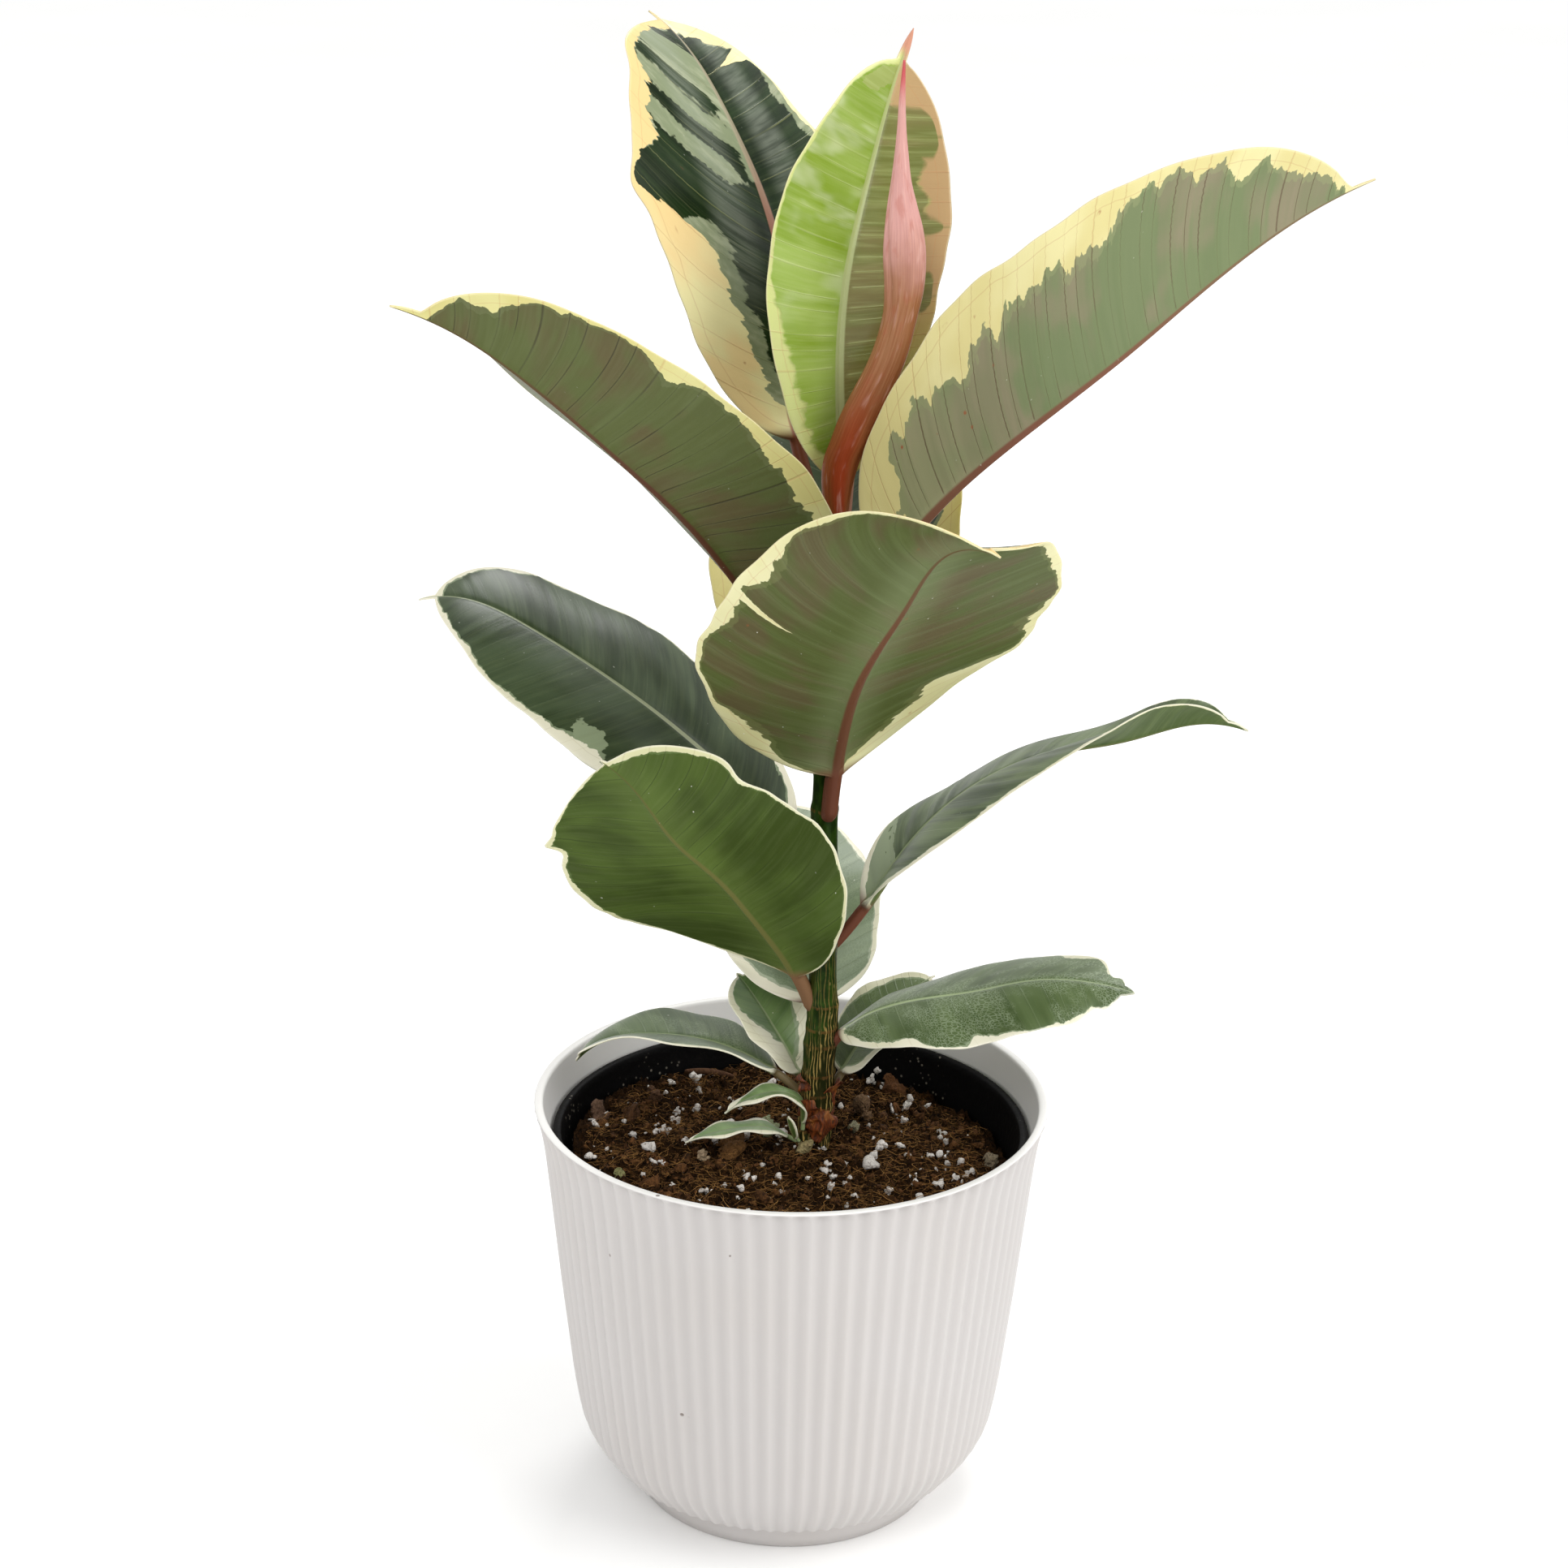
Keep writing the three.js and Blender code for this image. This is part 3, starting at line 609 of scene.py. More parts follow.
# Perlite grains that stand out on the peat: [place in the picture, diameter in millimetres].
BIG_GRAINS = [
    (858, 1332, 5), (815, 1397, 5.5), (799, 1418, 5.5), (834, 1371, 4.5), (820, 1349, 3),
    (857, 1368, 4), (882, 1401, 5.5), (915, 1401, 6), (900, 1390, 4), (1073, 1332, 4.5),
    (1117, 1366, 5), (1062, 1355, 2.5), (1087, 1416, 5.5), (1076, 1426, 3.5), (1015, 1446, 5.5),
    (1026, 1453, 3.5), (959, 1452, 3), (1145, 1425, 3.5), (1157, 1426, 3.5), (1126, 1461, 4),
    (1134, 1447, 3.5), (1095, 1470, 3.5), (1165, 1409, 3.5), (1195, 1447, 4), (1042, 1460, 3),
    (725, 1427, 3.5), (846, 1408, 3), (832, 1382, 4), (913, 1465, 3), (955, 1461, 2),
    (1177, 1453, 3), (1107, 1330, 3), (847, 1409, 3), (817, 1436, 2.5), (726, 1370, 3.5),
    (745, 1378, 4), (733, 1387, 3.5), (748, 1388, 2.5), (722, 1380, 2.5), (805, 1433, 2.5),
    (1005, 1413, 2), (1014, 1416, 2.5), (748, 1417, 2), (880, 1407, 3), (1100, 1370, 3),
]

# Stones, bark chips and the twig in the same way, with the tone of each stone and chip.
STONES = [
    (991, 1415, 5, "b9a878"), (949, 1392, 5.5, "a9b088"), (867, 1428, 3.5, "c0a888"),
    (762, 1448, 3.4, "9a9866"), (1221, 1432, 5, "8a7c66"), (947, 1481, 3.5, "c7b08a"),
    (1052, 1391, 4, "8f8a70"),
]
CHIPS = [
    (902, 1419, 6.5, "8a6238"), (736, 1376, 6, "6a5140"), (1065, 1376, 6, "7d6248"),
    (1136, 1325, 8, "6b4526"), (806, 1353, 6, "5d4330"), (778, 1375, 10, "5a3c24"),
]
TWIG = (829, 1314, 2.4)

# How far the crumbs' tops stand above soil_height, in millimetres.
CRUMB_TOP = 0.8


def set_down(marks, sink):
    """Points on the peat seen at the picture's marks, with their diameters.

    A ray from the camera through each mark meets the peat after a few corrections of its
    reach; each point is then kept inside the peat's edge and sunk by a share of its diameter.
    """
    camera = bpy.context.scene.camera
    middle = PICTURE_SIZE / 2
    lens = camera.data.lens / camera.data.sensor_width * PICTURE_SIZE
    at = np.array([[mark[0] - middle, middle - mark[1], -lens] for mark in marks])
    matrix = np.array(camera.matrix_world)
    ray, eye = at @ matrix[:3, :3].T, matrix[:3, 3] / MM
    reach = np.full(len(at), SOIL_LEVEL - eye[2]) / ray[:, 2]
    for _ in range(6):
        spot = eye + ray * reach[:, None]
        reach += (soil_height(spot[:, 0], spot[:, 1]) + CRUMB_TOP - spot[:, 2]) / ray[:, 2]
    spot = eye + ray * reach[:, None]
    size = np.array([mark[2] for mark in marks])
    room = PEAT_EDGE - size / 2
    spot[:, :2] *= np.minimum(1, room / np.hypot(spot[:, 0], spot[:, 1]))[:, None]
    spot[:, 2] = soil_height(spot[:, 0], spot[:, 1]) + CRUMB_TOP + size * (0.5 - sink)
    return spot, size


def scattered(count, reach, seed):
    """Points spread evenly over the peat, out to a radius and clear of the stem."""
    rng = np.random.default_rng(seed)
    radius, angle = reach * np.sqrt(rng.uniform(0, 1, count)), rng.uniform(0, TURN, count)
    x, y = radius * np.cos(angle), radius * np.sin(angle)
    clear = np.hypot(x - stem_at(SOIL_LEVEL)[0], y) > STEM_CLEARANCE
    x, y = x[clear], y[clear]
    return np.stack([x, y, crumbly_height(x, y)], -1)


def peat_finish(colour):
    """Dark peat with crumbs and hair-fine fibres in its relief; painted shade darkens the gaps
    between crumbs, and painted light brightens crumb tops in soft patches.
    """
    f = Finish("peat_surface")
    place = f.place()
    patch = f.noise(place, 120, 3)
    crumb = f.noise(place, 700, 4, 0.65)
    fibre = f.noise(place, 2600, 2)
    # Painted shade: the gaps between crumbs take a near-black copy of the peat colour.
    base = f.mix(crumb.step(0.3, 0.62), shaded(colour, 0.12), colour)
    # Painted light: crumb tops in soft patches take a brighter copy of the peat colour.
    lit = f.mix(
        patch.step(0.5, 0.75) * crumb.step(0.45, 0.7), base, shaded(colour, [2.6, 2.4, 2.0]))
    normal = f.bump(crumb + fibre * 0.5, 0.0012, 1.0)
    return f.surface(lit, 0.85 + 0.1 * crumb, normal, 0.08)


def grain_finish(name, low, high, dirt, bump=0.0006):
    """A mineral or bark bit: two tones from piece to piece, with peat dust in its hollows."""
    f = Finish(name)
    rough = f.noise(f.place(), 900, 3, 0.6)
    tone = f.mix(f.number("shade") * 0.55 + rough.step(0.35, 0.6) * 0.45, low, high)
    dusty = f.mix(rough.step(0.52, 0.7) * dirt, tone, "5b4231")
    return f.surface(dusty, 0.85, f.bump(rough, bump), 0.12)


def add_bits(name, skin, finish):
    """Puts a skin of loose bits and their shades on the peat."""
    points, faces, shade = skin
    piece(name, points, faces, finish, "peat", (), {"shade": shade})


def add_crumbs(count):
    spots = scattered(count, PEAT_EDGE - 1, 32)
    rng = np.random.default_rng(31)
    sizes = rng.gamma(1.4, 0.2, (len(spots), 1)) + 0.18
    sizes = sizes * rng.uniform(0.6, 1.4, (len(spots), 3))
    spots[:, 2] += sizes[:, 0] * 0.3
    finish = grain_finish("peat_crumbs", "0a0502", "704a29", 0.3, 0.0014)
    add_bits("peat_crumbs", blobs(spots, sizes, 0.26, 33, 3, 6), finish)
    return rng


def add_perlite(rng, count, colour):
    """Small grains scattered at random, and each grain of the picture with a half beside it."""
    small = scattered(count, PEAT_EDGE - 1, 34)
    radius = rng.gamma(2.0, 0.24, len(small)) + 0.2
    small[:, 2] += radius * 0.5
    big, size = set_down(BIG_GRAINS, 0.3)
    big = np.concatenate([big, big + rng.normal(0, 0.3, big.shape) * size[:, None]])
    size = np.concatenate([size * 0.86, size * 0.5])
    centres = np.concatenate([small, big])
    sizes = np.concatenate([radius, size * 0.36])[:, None]
    sizes = sizes * rng.uniform(0.65, 1.15, (len(centres), 3))
    light = (*np.minimum(np.array(colour[:3]) * 1.25, 0.9), 1.0)
    finish = grain_finish("perlite", shaded(colour, 0.75), light, 0.75, 0.0009)
    add_bits("perlite_grains", blobs(centres, sizes, 0.27, 35, 6, 9), finish)


def add_stones(kind, marks, flat, roughness):
    """One lump for each mark, 0.8 as deep as wide, flattened and roughened."""
    spots, size = set_down(marks, 0.35)
    for k, (spot, across, mark) in enumerate(zip(spots, size, marks)):
        half = np.array([[across / 2, across / 2 * 0.8, across / 2 * flat]])
        points, faces, shade = blobs(spot[None], half, roughness, 40 + k, 22, 32)
        points = points + 0.22 * ripples(points, 1.6, 50 + k)[:, None]
        name, tone = f"{kind}_{k + 1}", srgb(mark[3])
        finish = grain_finish(name, shaded(tone, 0.4), shaded(tone, 1.2), 0.7, 0.002)
        add_bits(name, (points, faces, shade), finish)


def add_fibres(rng, count):
    starts = scattered(count, PEAT_EDGE - 2, 36)
    count = len(starts)
    turn, dip = rng.uniform(0, TURN, count), rng.normal(0, 0.12, count)
    headings = np.stack([np.cos(turn), np.sin(turn), dip], -1)
    lengths, radii = rng.gamma(2.0, 1.5, count) + 0.8, rng.uniform(0.04, 0.12, count)
    starts[:, 2] += 0.9
    ends = starts + headings * lengths[:, None]
    keep = np.hypot(*ends[:, :2].T) < PEAT_EDGE - 1
    skin = threads(starts[keep], headings[keep], lengths[keep], radii[keep], 0.45, 37)
    add_bits("peat_fibres", skin, grain_finish("peat_fibres", "241107", "b0824a", 0.15))


def add_twig():
    """A thread 15 mm long and 2 mm thick that lies across the peat at the back."""
    start, _ = set_down([TWIG], 0.1)
    heading, length, radius = np.array([[0.985, -0.1, -0.05]]), np.array([15.0]), np.array([1.0])
    skin = threads(start + [[0, 0, 0.6]], heading, length, radius, 0.03, 38, 14, 10)
    add_bits("twig", skin, grain_finish("twig", "4e3626", "6a4a36", 0.4))


class PLANT_OT_soil(bpy.types.Operator):
    """Builds the root ball's surface with its perlite, crumbs, chips, stones and fibres"""
    bl_idname = "plant.soil"
    bl_label = "Soil"

    def execute(self, context):
        settings = context.scene.plant_soil
        piece("root_ball", *soil_body(), peat_finish(settings.colour), "peat", ["soil"])
        rng = add_crumbs(settings.crumbs)
        add_perlite(rng, settings.perlite, settings.perlite_colour)
        add_stones("stone", STONES, 0.8, 0.15)
        add_stones("bark_chip", CHIPS, 0.6, 0.34)
        add_fibres(rng, settings.fibres)
        add_twig()
        return {"FINISHED"}


class StemSettings(bpy.types.PropertyGroup):
    green: bpy.props.FloatVectorProperty(
        name="Green", description="Colour of the young stem", subtype="COLOR", size=4,
        default=srgb("20360a"), min=0, max=1)
    cork: bpy.props.FloatVectorProperty(
        name="Cork", description="Colour of the corky cracks", subtype="COLOR", size=4,
        default=srgb("a68c50"), min=0, max=1)
    sheath: bpy.props.FloatVectorProperty(
        name="Sheath", description="Colour of the bud sheath's upper part", subtype="COLOR", size=4,
        default=srgb("d09a94"), min=0, max=1)


# Heights of the leaf scars that ring the stem, in millimetres.
SCARS = (112, 118, 122, 128, 137, 142, 149, 167, 192, 207, 218, 238, 257, 271)

# The x of the stem's middle low down, in metres.
STEM_MIDDLE = 0.0066


def stem_surface():
    """The stem: rings round its centre line, swelling by up to 0.5 mm at each leaf scar.

    Waves round and along it keep it from being a plain turned shape, and its corky lower part
    has ridges that follow abs(sin(11 * angle)) as they wind up it.
    """
    columns, rows = 64, 340
    angle = ring_angles(columns)
    z = np.linspace(STEM_LINE[0, 1], STEM_LINE[-1, 1], rows)
    x, radius = stem_at(z)
    for _ in range(12):
        x[1:-1] = (x[:-2] + 2 * x[1:-1] + x[2:]) / 4
    swell = sum(np.exp(-((z - s) / 1.3) ** 2) for s in SCARS) * 0.28
    swell = swell + sum(np.exp(-((z - s + 2) / 4.0) ** 2) for s in SCARS) * 0.16
    up = z[:, None]
    spots = np.concatenate([
        np.broadcast_to(np.stack([np.cos(angle) * 3, np.sin(angle) * 3], -1), (rows, columns, 2)),
        np.broadcast_to(up[..., None] / 4, (rows, columns, 1)),
    ], -1)
    corky = 1 - smoothstep(up, 128, 160)
    ridges = np.abs(np.sin(angle * 11 + 0.7 * np.sin(up / 5.1) + 1.3 * np.sin(up / 9.3)))
    bark = (0.26 * (ridges - 0.5) + 0.12 * ripples(spots, 2.2, 5)) * corky
    r = radius[:, None] + swell[:, None] + 0.08 * ripples(spots, 6, 4) + bark
    return tube_skin(np.stack([
        x[:, None] + r * np.cos(angle), r * np.sin(angle), np.repeat(up, columns, 1)], -1))


def stem_finish(green, cork):
    """Green skin that cracks lengthwise into tan cork low down, with brown scars."""
    f = Finish("stem_skin")
    x, y, z = f.parts(f.place())

    def strands(stretch, scale, detail):
        """Noise in millimetres, stretched along the stem."""
        return f.noise(f.vector(x * 1000, y * 1000, z * stretch), scale, detail)

    fine = strands(150, 0.45, 2)
    around = y.math("ARCTAN2", x - STEM_MIDDLE)
    wobble = strands(260, 0.9, 3)
    low = 1 - (z * 1000 + wobble * 22 - (x - STEM_MIDDLE) * 2400).step(136, 158)
    faint = 1 - (z * 1000 + wobble * 20).step(172, 215)
    torn = strands(110, 0.5, 1).step(0.32, 0.46)
    crack = (around * 33 + fine * 15 + wobble * 6.5).math("SINE").step(0.3, 0.8) * torn
    mottle = strands(500, 0.5, 3)
    skin = f.mix(mottle.step(0.35, 0.7), shaded(green, 0.55), shaded(green, [1.5, 1.45, 1.3]))
    aged = f.mix(low * (mottle.step(0.35, 0.6) * 0.4 + 0.5), skin, "262008")
    corked = f.mix(crack * (low + faint * 0.2).math("MINIMUM", 1.0), aged, cork)
    pores = f.cells(f.vector(x * 1000, y * 1000, z * 420), 0.55)
    dotted = f.mix((1 - pores.step(0.1, 0.17)) * faint * 0.5, corked, "8a7a4d")
    rings = [
        1 - (z * 1000 - height + (wobble - 0.5) * 1.6).size().step(0.25, 0.6) for height in SCARS]
    scar = sum(rings[1:], rings[0])
    scarred = f.mix(scar * wobble.step(0.35, 0.6) * 0.5, dotted, "76502a")
    normal = f.bump(crack * low * -1 + wobble * 0.4, 0.0005, 0.8)
    return f.surface(scarred, 0.42 + 0.35 * low, normal, 0.1)


def oval_path(sections, rows, columns, squeeze=None):
    """Ovals in level planes whose middle, half width and half depth follow smooth curves
    through the listed sections by height; squeeze changes the radius by share and angle.
    """
    share = (sections[:, 2] - sections[0, 2]) / (sections[-1, 2] - sections[0, 2])
    s = np.linspace(0, 1, rows)
    even = np.interp(s, share, np.linspace(0, 1, len(sections)))
    x, y, z, wide, deep = (along(sections[:, k], even)[:, None] for k in range(5))
    angle = ring_angles(columns)
    scale = np.ones((rows, columns)) if squeeze is None else squeeze(s[:, None], angle[None])
    points, faces = tube_skin(np.stack([
        x + wide * scale * np.cos(angle), y + deep * scale * np.sin(angle),
        np.repeat(z, columns, 1)], -1))
    turn = np.concatenate([np.tile(angle, rows), [0, 0]])
    return points, faces, turn, np.concatenate([np.repeat(s, columns), [0, 1]])


def past_line(turn, share, start, rate):
    """Signed angle from a line that winds round a tube, from -pi to pi."""
    return np.mod(turn - start + share * rate + math.pi, TURN) - math.pi


def rolled(s, angle):
    """The sheath's roll: a seam that winds slowly round it, and 17 faint ribs."""
    seam = np.exp(-(past_line(angle, s, 5.2, 2.4) / 0.16) ** 2)
    ribs = 0.003 * np.sin(angle * 17 + 3 * s)
    return 1 - 0.1 * seam * smoothstep(s, 0.02, 0.2) + ribs


def sheath_finish(pink):
    """Brown-red at the foot with a vivid stripe, turning pink; fine lines run up it."""
    f = Finish("sheath_skin")
    east, north, share = f.field("lay")
    stripe = f.number("stripe")

    def strands(around, up, scale, detail):
        """Noise stretched up the sheath."""
        return f.noise(f.vector(east * around, north * around, share * up), scale, detail)

    lines = strands(9, 6, 1.2, 3)
    blotch = f.noise(f.place(), 70, 3)
    rise = share + (blotch - 0.5) * 0.22
    foot = f.mix(lines.step(0.25, 0.75), "8a451f", "a0592c")
    middle = f.mix(lines.step(0.25, 0.8), "98603a", "b07d58")
    upper = f.mix(lines.step(0.3, 0.8), pink, "e2aba1")
    colour = f.mix(rise.step(0.12, 0.42), foot, middle)
    colour = f.mix(rise.step(0.47, 0.7), colour, upper)
    colour = f.mix(share.step(0.9, 0.98), colour, "c9565a")
    colour = f.mix(stripe * (1 - share.step(0.1, 0.4)) * 0.8, colour, "a63c1c")
    colour = f.mix(strands(3, 14, 1.0, 2).step(0.56, 0.75) * 0.35, colour, "f0c4ba")
    colour = f.mix(strands(2.4, 22, 1.0, 3).step(0.52, 0.72) * 0.3, colour, "b0553c")
    return f.surface(colour, 0.42 + 0.15 * lines, f.bump(lines, 0.0002, 0.4), 0.3)


class PLANT_OT_stem(bpy.types.Operator):
    """Builds the stem, the side shoot and the rolled bud sheath"""
    bl_idname = "plant.stem"
    bl_label = "Stem and sheath"

    def execute(self, context):
        settings = context.scene.plant_stem
        skin = stem_finish(settings.green, settings.cork)
        piece("stem_column", *stem_surface(), skin, "bark", ["stem"])
        points, faces, *_ = oval_path(SHOOT, rows=40, columns=24)
        piece("shoot_stub", points, faces, skin, "bark", ["side_shoot"])
        points, faces, turn, share = oval_path(SHEATH, rows=230, columns=72, squeeze=rolled)
        stripe = 1 - smoothstep(np.abs(past_line(turn, share, 5.0, 2.2)), 0.2, 0.7)
        fields = {"lay": np.stack([np.cos(turn), np.sin(turn), share], -1), "stripe": stripe}
        finish = sheath_finish(settings.sheath)
        piece("rolled_sheath", points, faces, finish, "stipule", ["bud_sheath"], fields)
        return {"FINISHED"}


class LeafSettings(bpy.types.PropertyGroup):
    thickness: bpy.props.FloatProperty(
        name="Thickness", description="Thickness of a blade", default=0.00056, unit="LENGTH")
    vein_spacing: bpy.props.FloatProperty(
        name="Vein spacing", description="Distance between side veins", default=0.006,
        unit="LENGTH")
    jag: bpy.props.FloatProperty(
        name="Jag", description="How far the border of a margin runs in and out", default=0.0034,
        unit="LENGTH")
    petiole: bpy.props.FloatVectorProperty(
        name="Petiole", description="Colour of the petioles", subtype="COLOR", size=4,
        default=srgb("6f3f2c"), min=0, max=1)


# A petiole starts this far from the stem's middle, and runs this deep into the stem at no
# more than this pitch.
FOOT_OFFSET = 3.5
ROOT_DEPTH = 4.0
ROOT_PITCH = 40.0

# Rows of a leaf's skin along its petiole, millimetres between the rows of its blade, and
# columns of each half. Blades up to SMALL_LEAF long have fewer of both.
PETIOLE_ROWS = 18
ROW_SPACING = 1.05
BLADE_COLUMNS = 24
SMALL_LEAF = 45
SMALL_GRID = (64, 14)

# Each leaf as in the CAD part, in millimetres and degrees: foot is the height on the stem, or
# a point, that its petiole leaves from; stalk is the petiole's radius; heading and pitch steer
# the midrib from foot to tip; roll, and fold and curl of the left and the right half, lay the
# blade across it; shape is the widest place, the roundness of the base and of the tip, and
# the drip tip's share.
LEAVES = {
    "leaf_top_back": dict(
        foot=281, petiole=30, length=127, width=74, stalk=1.9,
        heading=[128, 126, 149], pitch=[50, 65, 89, 66, 54, 50, 28], roll=[0, 5],
        fold=[[0], [-5]], curl=[[0], [0]], shape=[0.55, 0.6, 0.4, 0.04]),
    "leaf_top_young": dict(
        foot=285, petiole=13, length=122, width=49, stalk=1.6,
        heading=[93, 57, 53], pitch=[84, 100, 84, 69, 66, 54], roll=[25, 50],
        fold=[[30], [5]], curl=[[0], [0]], shape=[0.55, 0.65, 0.7, 0.08]),
    "leaf_upper_right": dict(
        foot=257, petiole=21, length=163, width=84, stalk=2,
        heading=[-6, -15, -10], pitch=[66, 54, 43, 41, 44, 39, 25], roll=[-45, -35],
        fold=[[40], [25]], curl=[[15], [0]], shape=[0.52, 0.65, 0.5, 0.04]),
    "leaf_upper_left": dict(
        foot=238, petiole=16, length=156, width=82, stalk=2,
        heading=[-140, -146, -169], pitch=[53, 54, 50, 43, 42, 37, 18], roll=[10, 40],
        fold=[[15], [30]], curl=[[-10], [5]], shape=[0.45, 0.6, 0.6, 0.05]),
    "leaf_front": dict(
        foot=207, petiole=13, length=122, width=92, stalk=2.3,
        heading=[-70, -77, -61, -40], pitch=[81, 59, 44, 45, 49, -15], roll=[15, -20],
        fold=[[5], [10]], curl=[[0], [0]], shape=[0.55, 0.6, 0.35, 0.04]),
    "leaf_back_middle": dict(
        foot=218, petiole=21, length=123, width=80, stalk=2,
        heading=[85, 82, 96], pitch=[58, 55, 54, 48, 40], roll=[-15, -10],
        fold=[[5], [15]], curl=[[0], [10]], shape=[0.36, 0.6, 0.7, 0.05]),
    "leaf_left_middle": dict(
        foot=192, petiole=10, length=123, width=61, stalk=1.8,
        heading=[160, 170, 177], pitch=[55, 36, 38, 34, 31, 24, -15], roll=[-20],
        fold=[[5], [5]], curl=[[-20], [-20]], shape=[0.5, 0.6, 0.55, 0.04]),
    "leaf_left_front": dict(
        foot=149, petiole=11, length=99, width=71, stalk=2,
        heading=[-158, -138, -157], pitch=[71, 54, 50, 42, 56, 37], roll=[5, 35],
        fold=[[15], [-15]], curl=[[5], [-10]], shape=[0.52, 0.6, 0.45, 0.02]),
    "leaf_right_middle": dict(
        foot=167, petiole=13, length=125, width=56, stalk=1.7,
        heading=[7, 12, -9], pitch=[49, 58, 43, 23, 7, 17, -19], roll=[5, -30, -20, 20],
        fold=[[20, 15], [35, -15, 15, 85]], curl=[[-10], [-15]], shape=[0.45, 0.65, 0.8, 0.05]),
    "leaf_back_low": dict(
        foot=142, petiole=5, length=75, width=57, stalk=1.5,
        heading=[106, 103, 118], pitch=[53, 60, 27, 20, 10], roll=[0, -5],
        fold=[[5], [-5]], curl=[[0], [0]], shape=[0.45, 0.55, 0.5, 0.04]),
    "leaf_right_low": dict(
        foot=137, petiole=4, length=88, width=43, stalk=1.4,
        heading=[-15, -15, -20], pitch=[59, 27, 15, 20, 4, -10], roll=[-5, 5],
        fold=[[5], [-10]], curl=[[-15], [-25]], shape=[0.5, 0.5, 0.6, 0.04]),
    "leaf_right_low_back": dict(
        foot=118, petiole=9, length=40, width=26, stalk=1.2,
        heading=[33], pitch=[59, 50, 32, 14], roll=[0],
        fold=[[10], [10]], curl=[[0], [0]], shape=[0.5, 0.5, 0.7, 0.04]),
    "leaf_left_low": dict(
        foot=120, petiole=11, length=63, width=32, stalk=1.2,
        heading=[178, 169, 171], pitch=[46, 27, 4, -12, -54], roll=[0],
        fold=[[20], [10]], curl=[[-5], [-15]], shape=[0.5, 0.5, 0.7, 0.04]),
    "leaf_left_inner": dict(
        foot=120, petiole=6, length=34, width=24, stalk=1.1,
        heading=[140], pitch=[62, 49, 45, 35], roll=[0],
        fold=[[15], [15]], curl=[[0], [0]], shape=[0.5, 0.5, 0.7, 0.04]),
    "leaf_shoot_upper": dict(
        foot=[3.4, -6.4, 112.8], petiole=2, length=31, width=9, stalk=0.6,
        heading=[190], pitch=[95, 85, 40, 5, -15, -30, -35], roll=[0],
        fold=[[10], [10]], curl=[[-15], [-15]], shape=[0.5, 0.5, 0.7, 0.04]),
    "leaf_shoot_lower": dict(
        foot=[1.6, -6.3, 109.2], petiole=3, length=31, width=9, stalk=0.6,
        heading=[195], pitch=[35, 30, 5, -3, -12, -20], roll=[0],
        fold=[[10], [10]], curl=[[-15], [-15]], shape=[0.5, 0.5, 0.7, 0.04]),
    "leaf_shoot_tiny": dict(
        foot=[2.4, -7.9, 109.9], petiole=1.5, length=8, width=4, stalk=0.5,
        heading=[215], pitch=[50, 70, 78], roll=[0],
        fold=[[10], [10]], curl=[[0], [0]], shape=[0.5, 0.6, 0.6, 0.04]),
}

# What a leaf looks like where its own row says nothing else. Tones are six hex digits, and a
# pair of tones is mixed in clouds. Distances are in millimetres, shares run from base to tip,
# a side is 1 for the left half and -1 for the right one, and down marks the under side.
PLAIN_LOOK = dict(
    # Margin: its width on each half at equal steps from base to tip, how strongly its border
    # runs in and out, how soft the border is, and the breadth of the between tone along it.
    left=[0], right=[0], jag=1, soften=0.13, fringe=2,
    # Cream streaks into the green as [side, share, width, depth], and green fingers into the
    # margin as [side, share, width, reach].
    streaks=[], fingers=[],
    # Places in the between tone: patches as [side, share, inset, length, breadth], rays along
    # the veins as [side, share, size, least inset, least distance from the rib], strips along
    # the margin and the rib as [side, first share, last share, breadth], and their softness.
    patches=[], rays=[], strips=[], rib_strips=[], patch_edge=0.05,
    # Outline and relief: the drip tip's width, dents as [side, share, size, depth], lifted
    # edges as [side, share, size, height], the margin's wave as [height, count], and the
    # veins' height.
    tail=0.12, dents=[], lifts=[], wave=[0.6, 2.5], vein_lift=0.05,
    # Side veins: their spacing, if it isn't the usual one, and for each half how steeply they
    # leave the midrib, how they bend and how they fan out to the tip.
    spacing=None, vein_slope=[0.33, 0.33], vein_bend=[0.0042, 0.0042], fan=[0.3, 0.3],
    # Upper side: the palest between tone, the left margin's upper part, the right half's greens
    # and margin, partly their own olive and tan and partly painted shade, and the lines in the
    # margin.
    between_pale=None, margin_up=None, right_up_with_shade=None, right_margin_with_shade=None, margin_vein="c08a5c",
    # Strength and tone of the veins, of the zones of painted shade beside them and of threads that
    # run with them; strength of a painted sheen haze and of a net of pale lines, partly painted
    # sheen;
    # painted sheen as [distance from the rib, half width, strength]; and how much the veins show in
    # the relief.
    vein=0.2, vein_tone="8b9a74", groove=0.08, groove_tone="15200f", threads=0.1,
    thread_tone="96a472", painted_sheen_haze=0.0, leather_and_sheen=0.0, sheen=None, vein_bump=0.4,
    # Under side: the painted light towards the base, and strength and tone of bands of painted
    # shade, of the veins, of the zones of painted light beside them and of the zone beside the
    # midrib.
    down_base_painted_light=None, bands=0.45, down_shade="3d4526", down_vein=0.4, down_vein_tone="2e2c17",
    down_groove=0.14, down_groove_tone="8b9b66", beside=0.0, beside_tone="8d9a6e",
    # The midrib's width, how much of rib_tip or else between it takes on to the tip, the
    # tip's tone and strength, and the petiole's tone, if it isn't the usual one.
    rib_width=0.8, rib_far=0.4, rib_tip=None, tip="c98468", tip_share=0.0, petiole=None,
    # Light specks, red flecks, roughness and specular level.
    specks=0.35, flecks=0.0, gloss=0.28, shine=0.36)

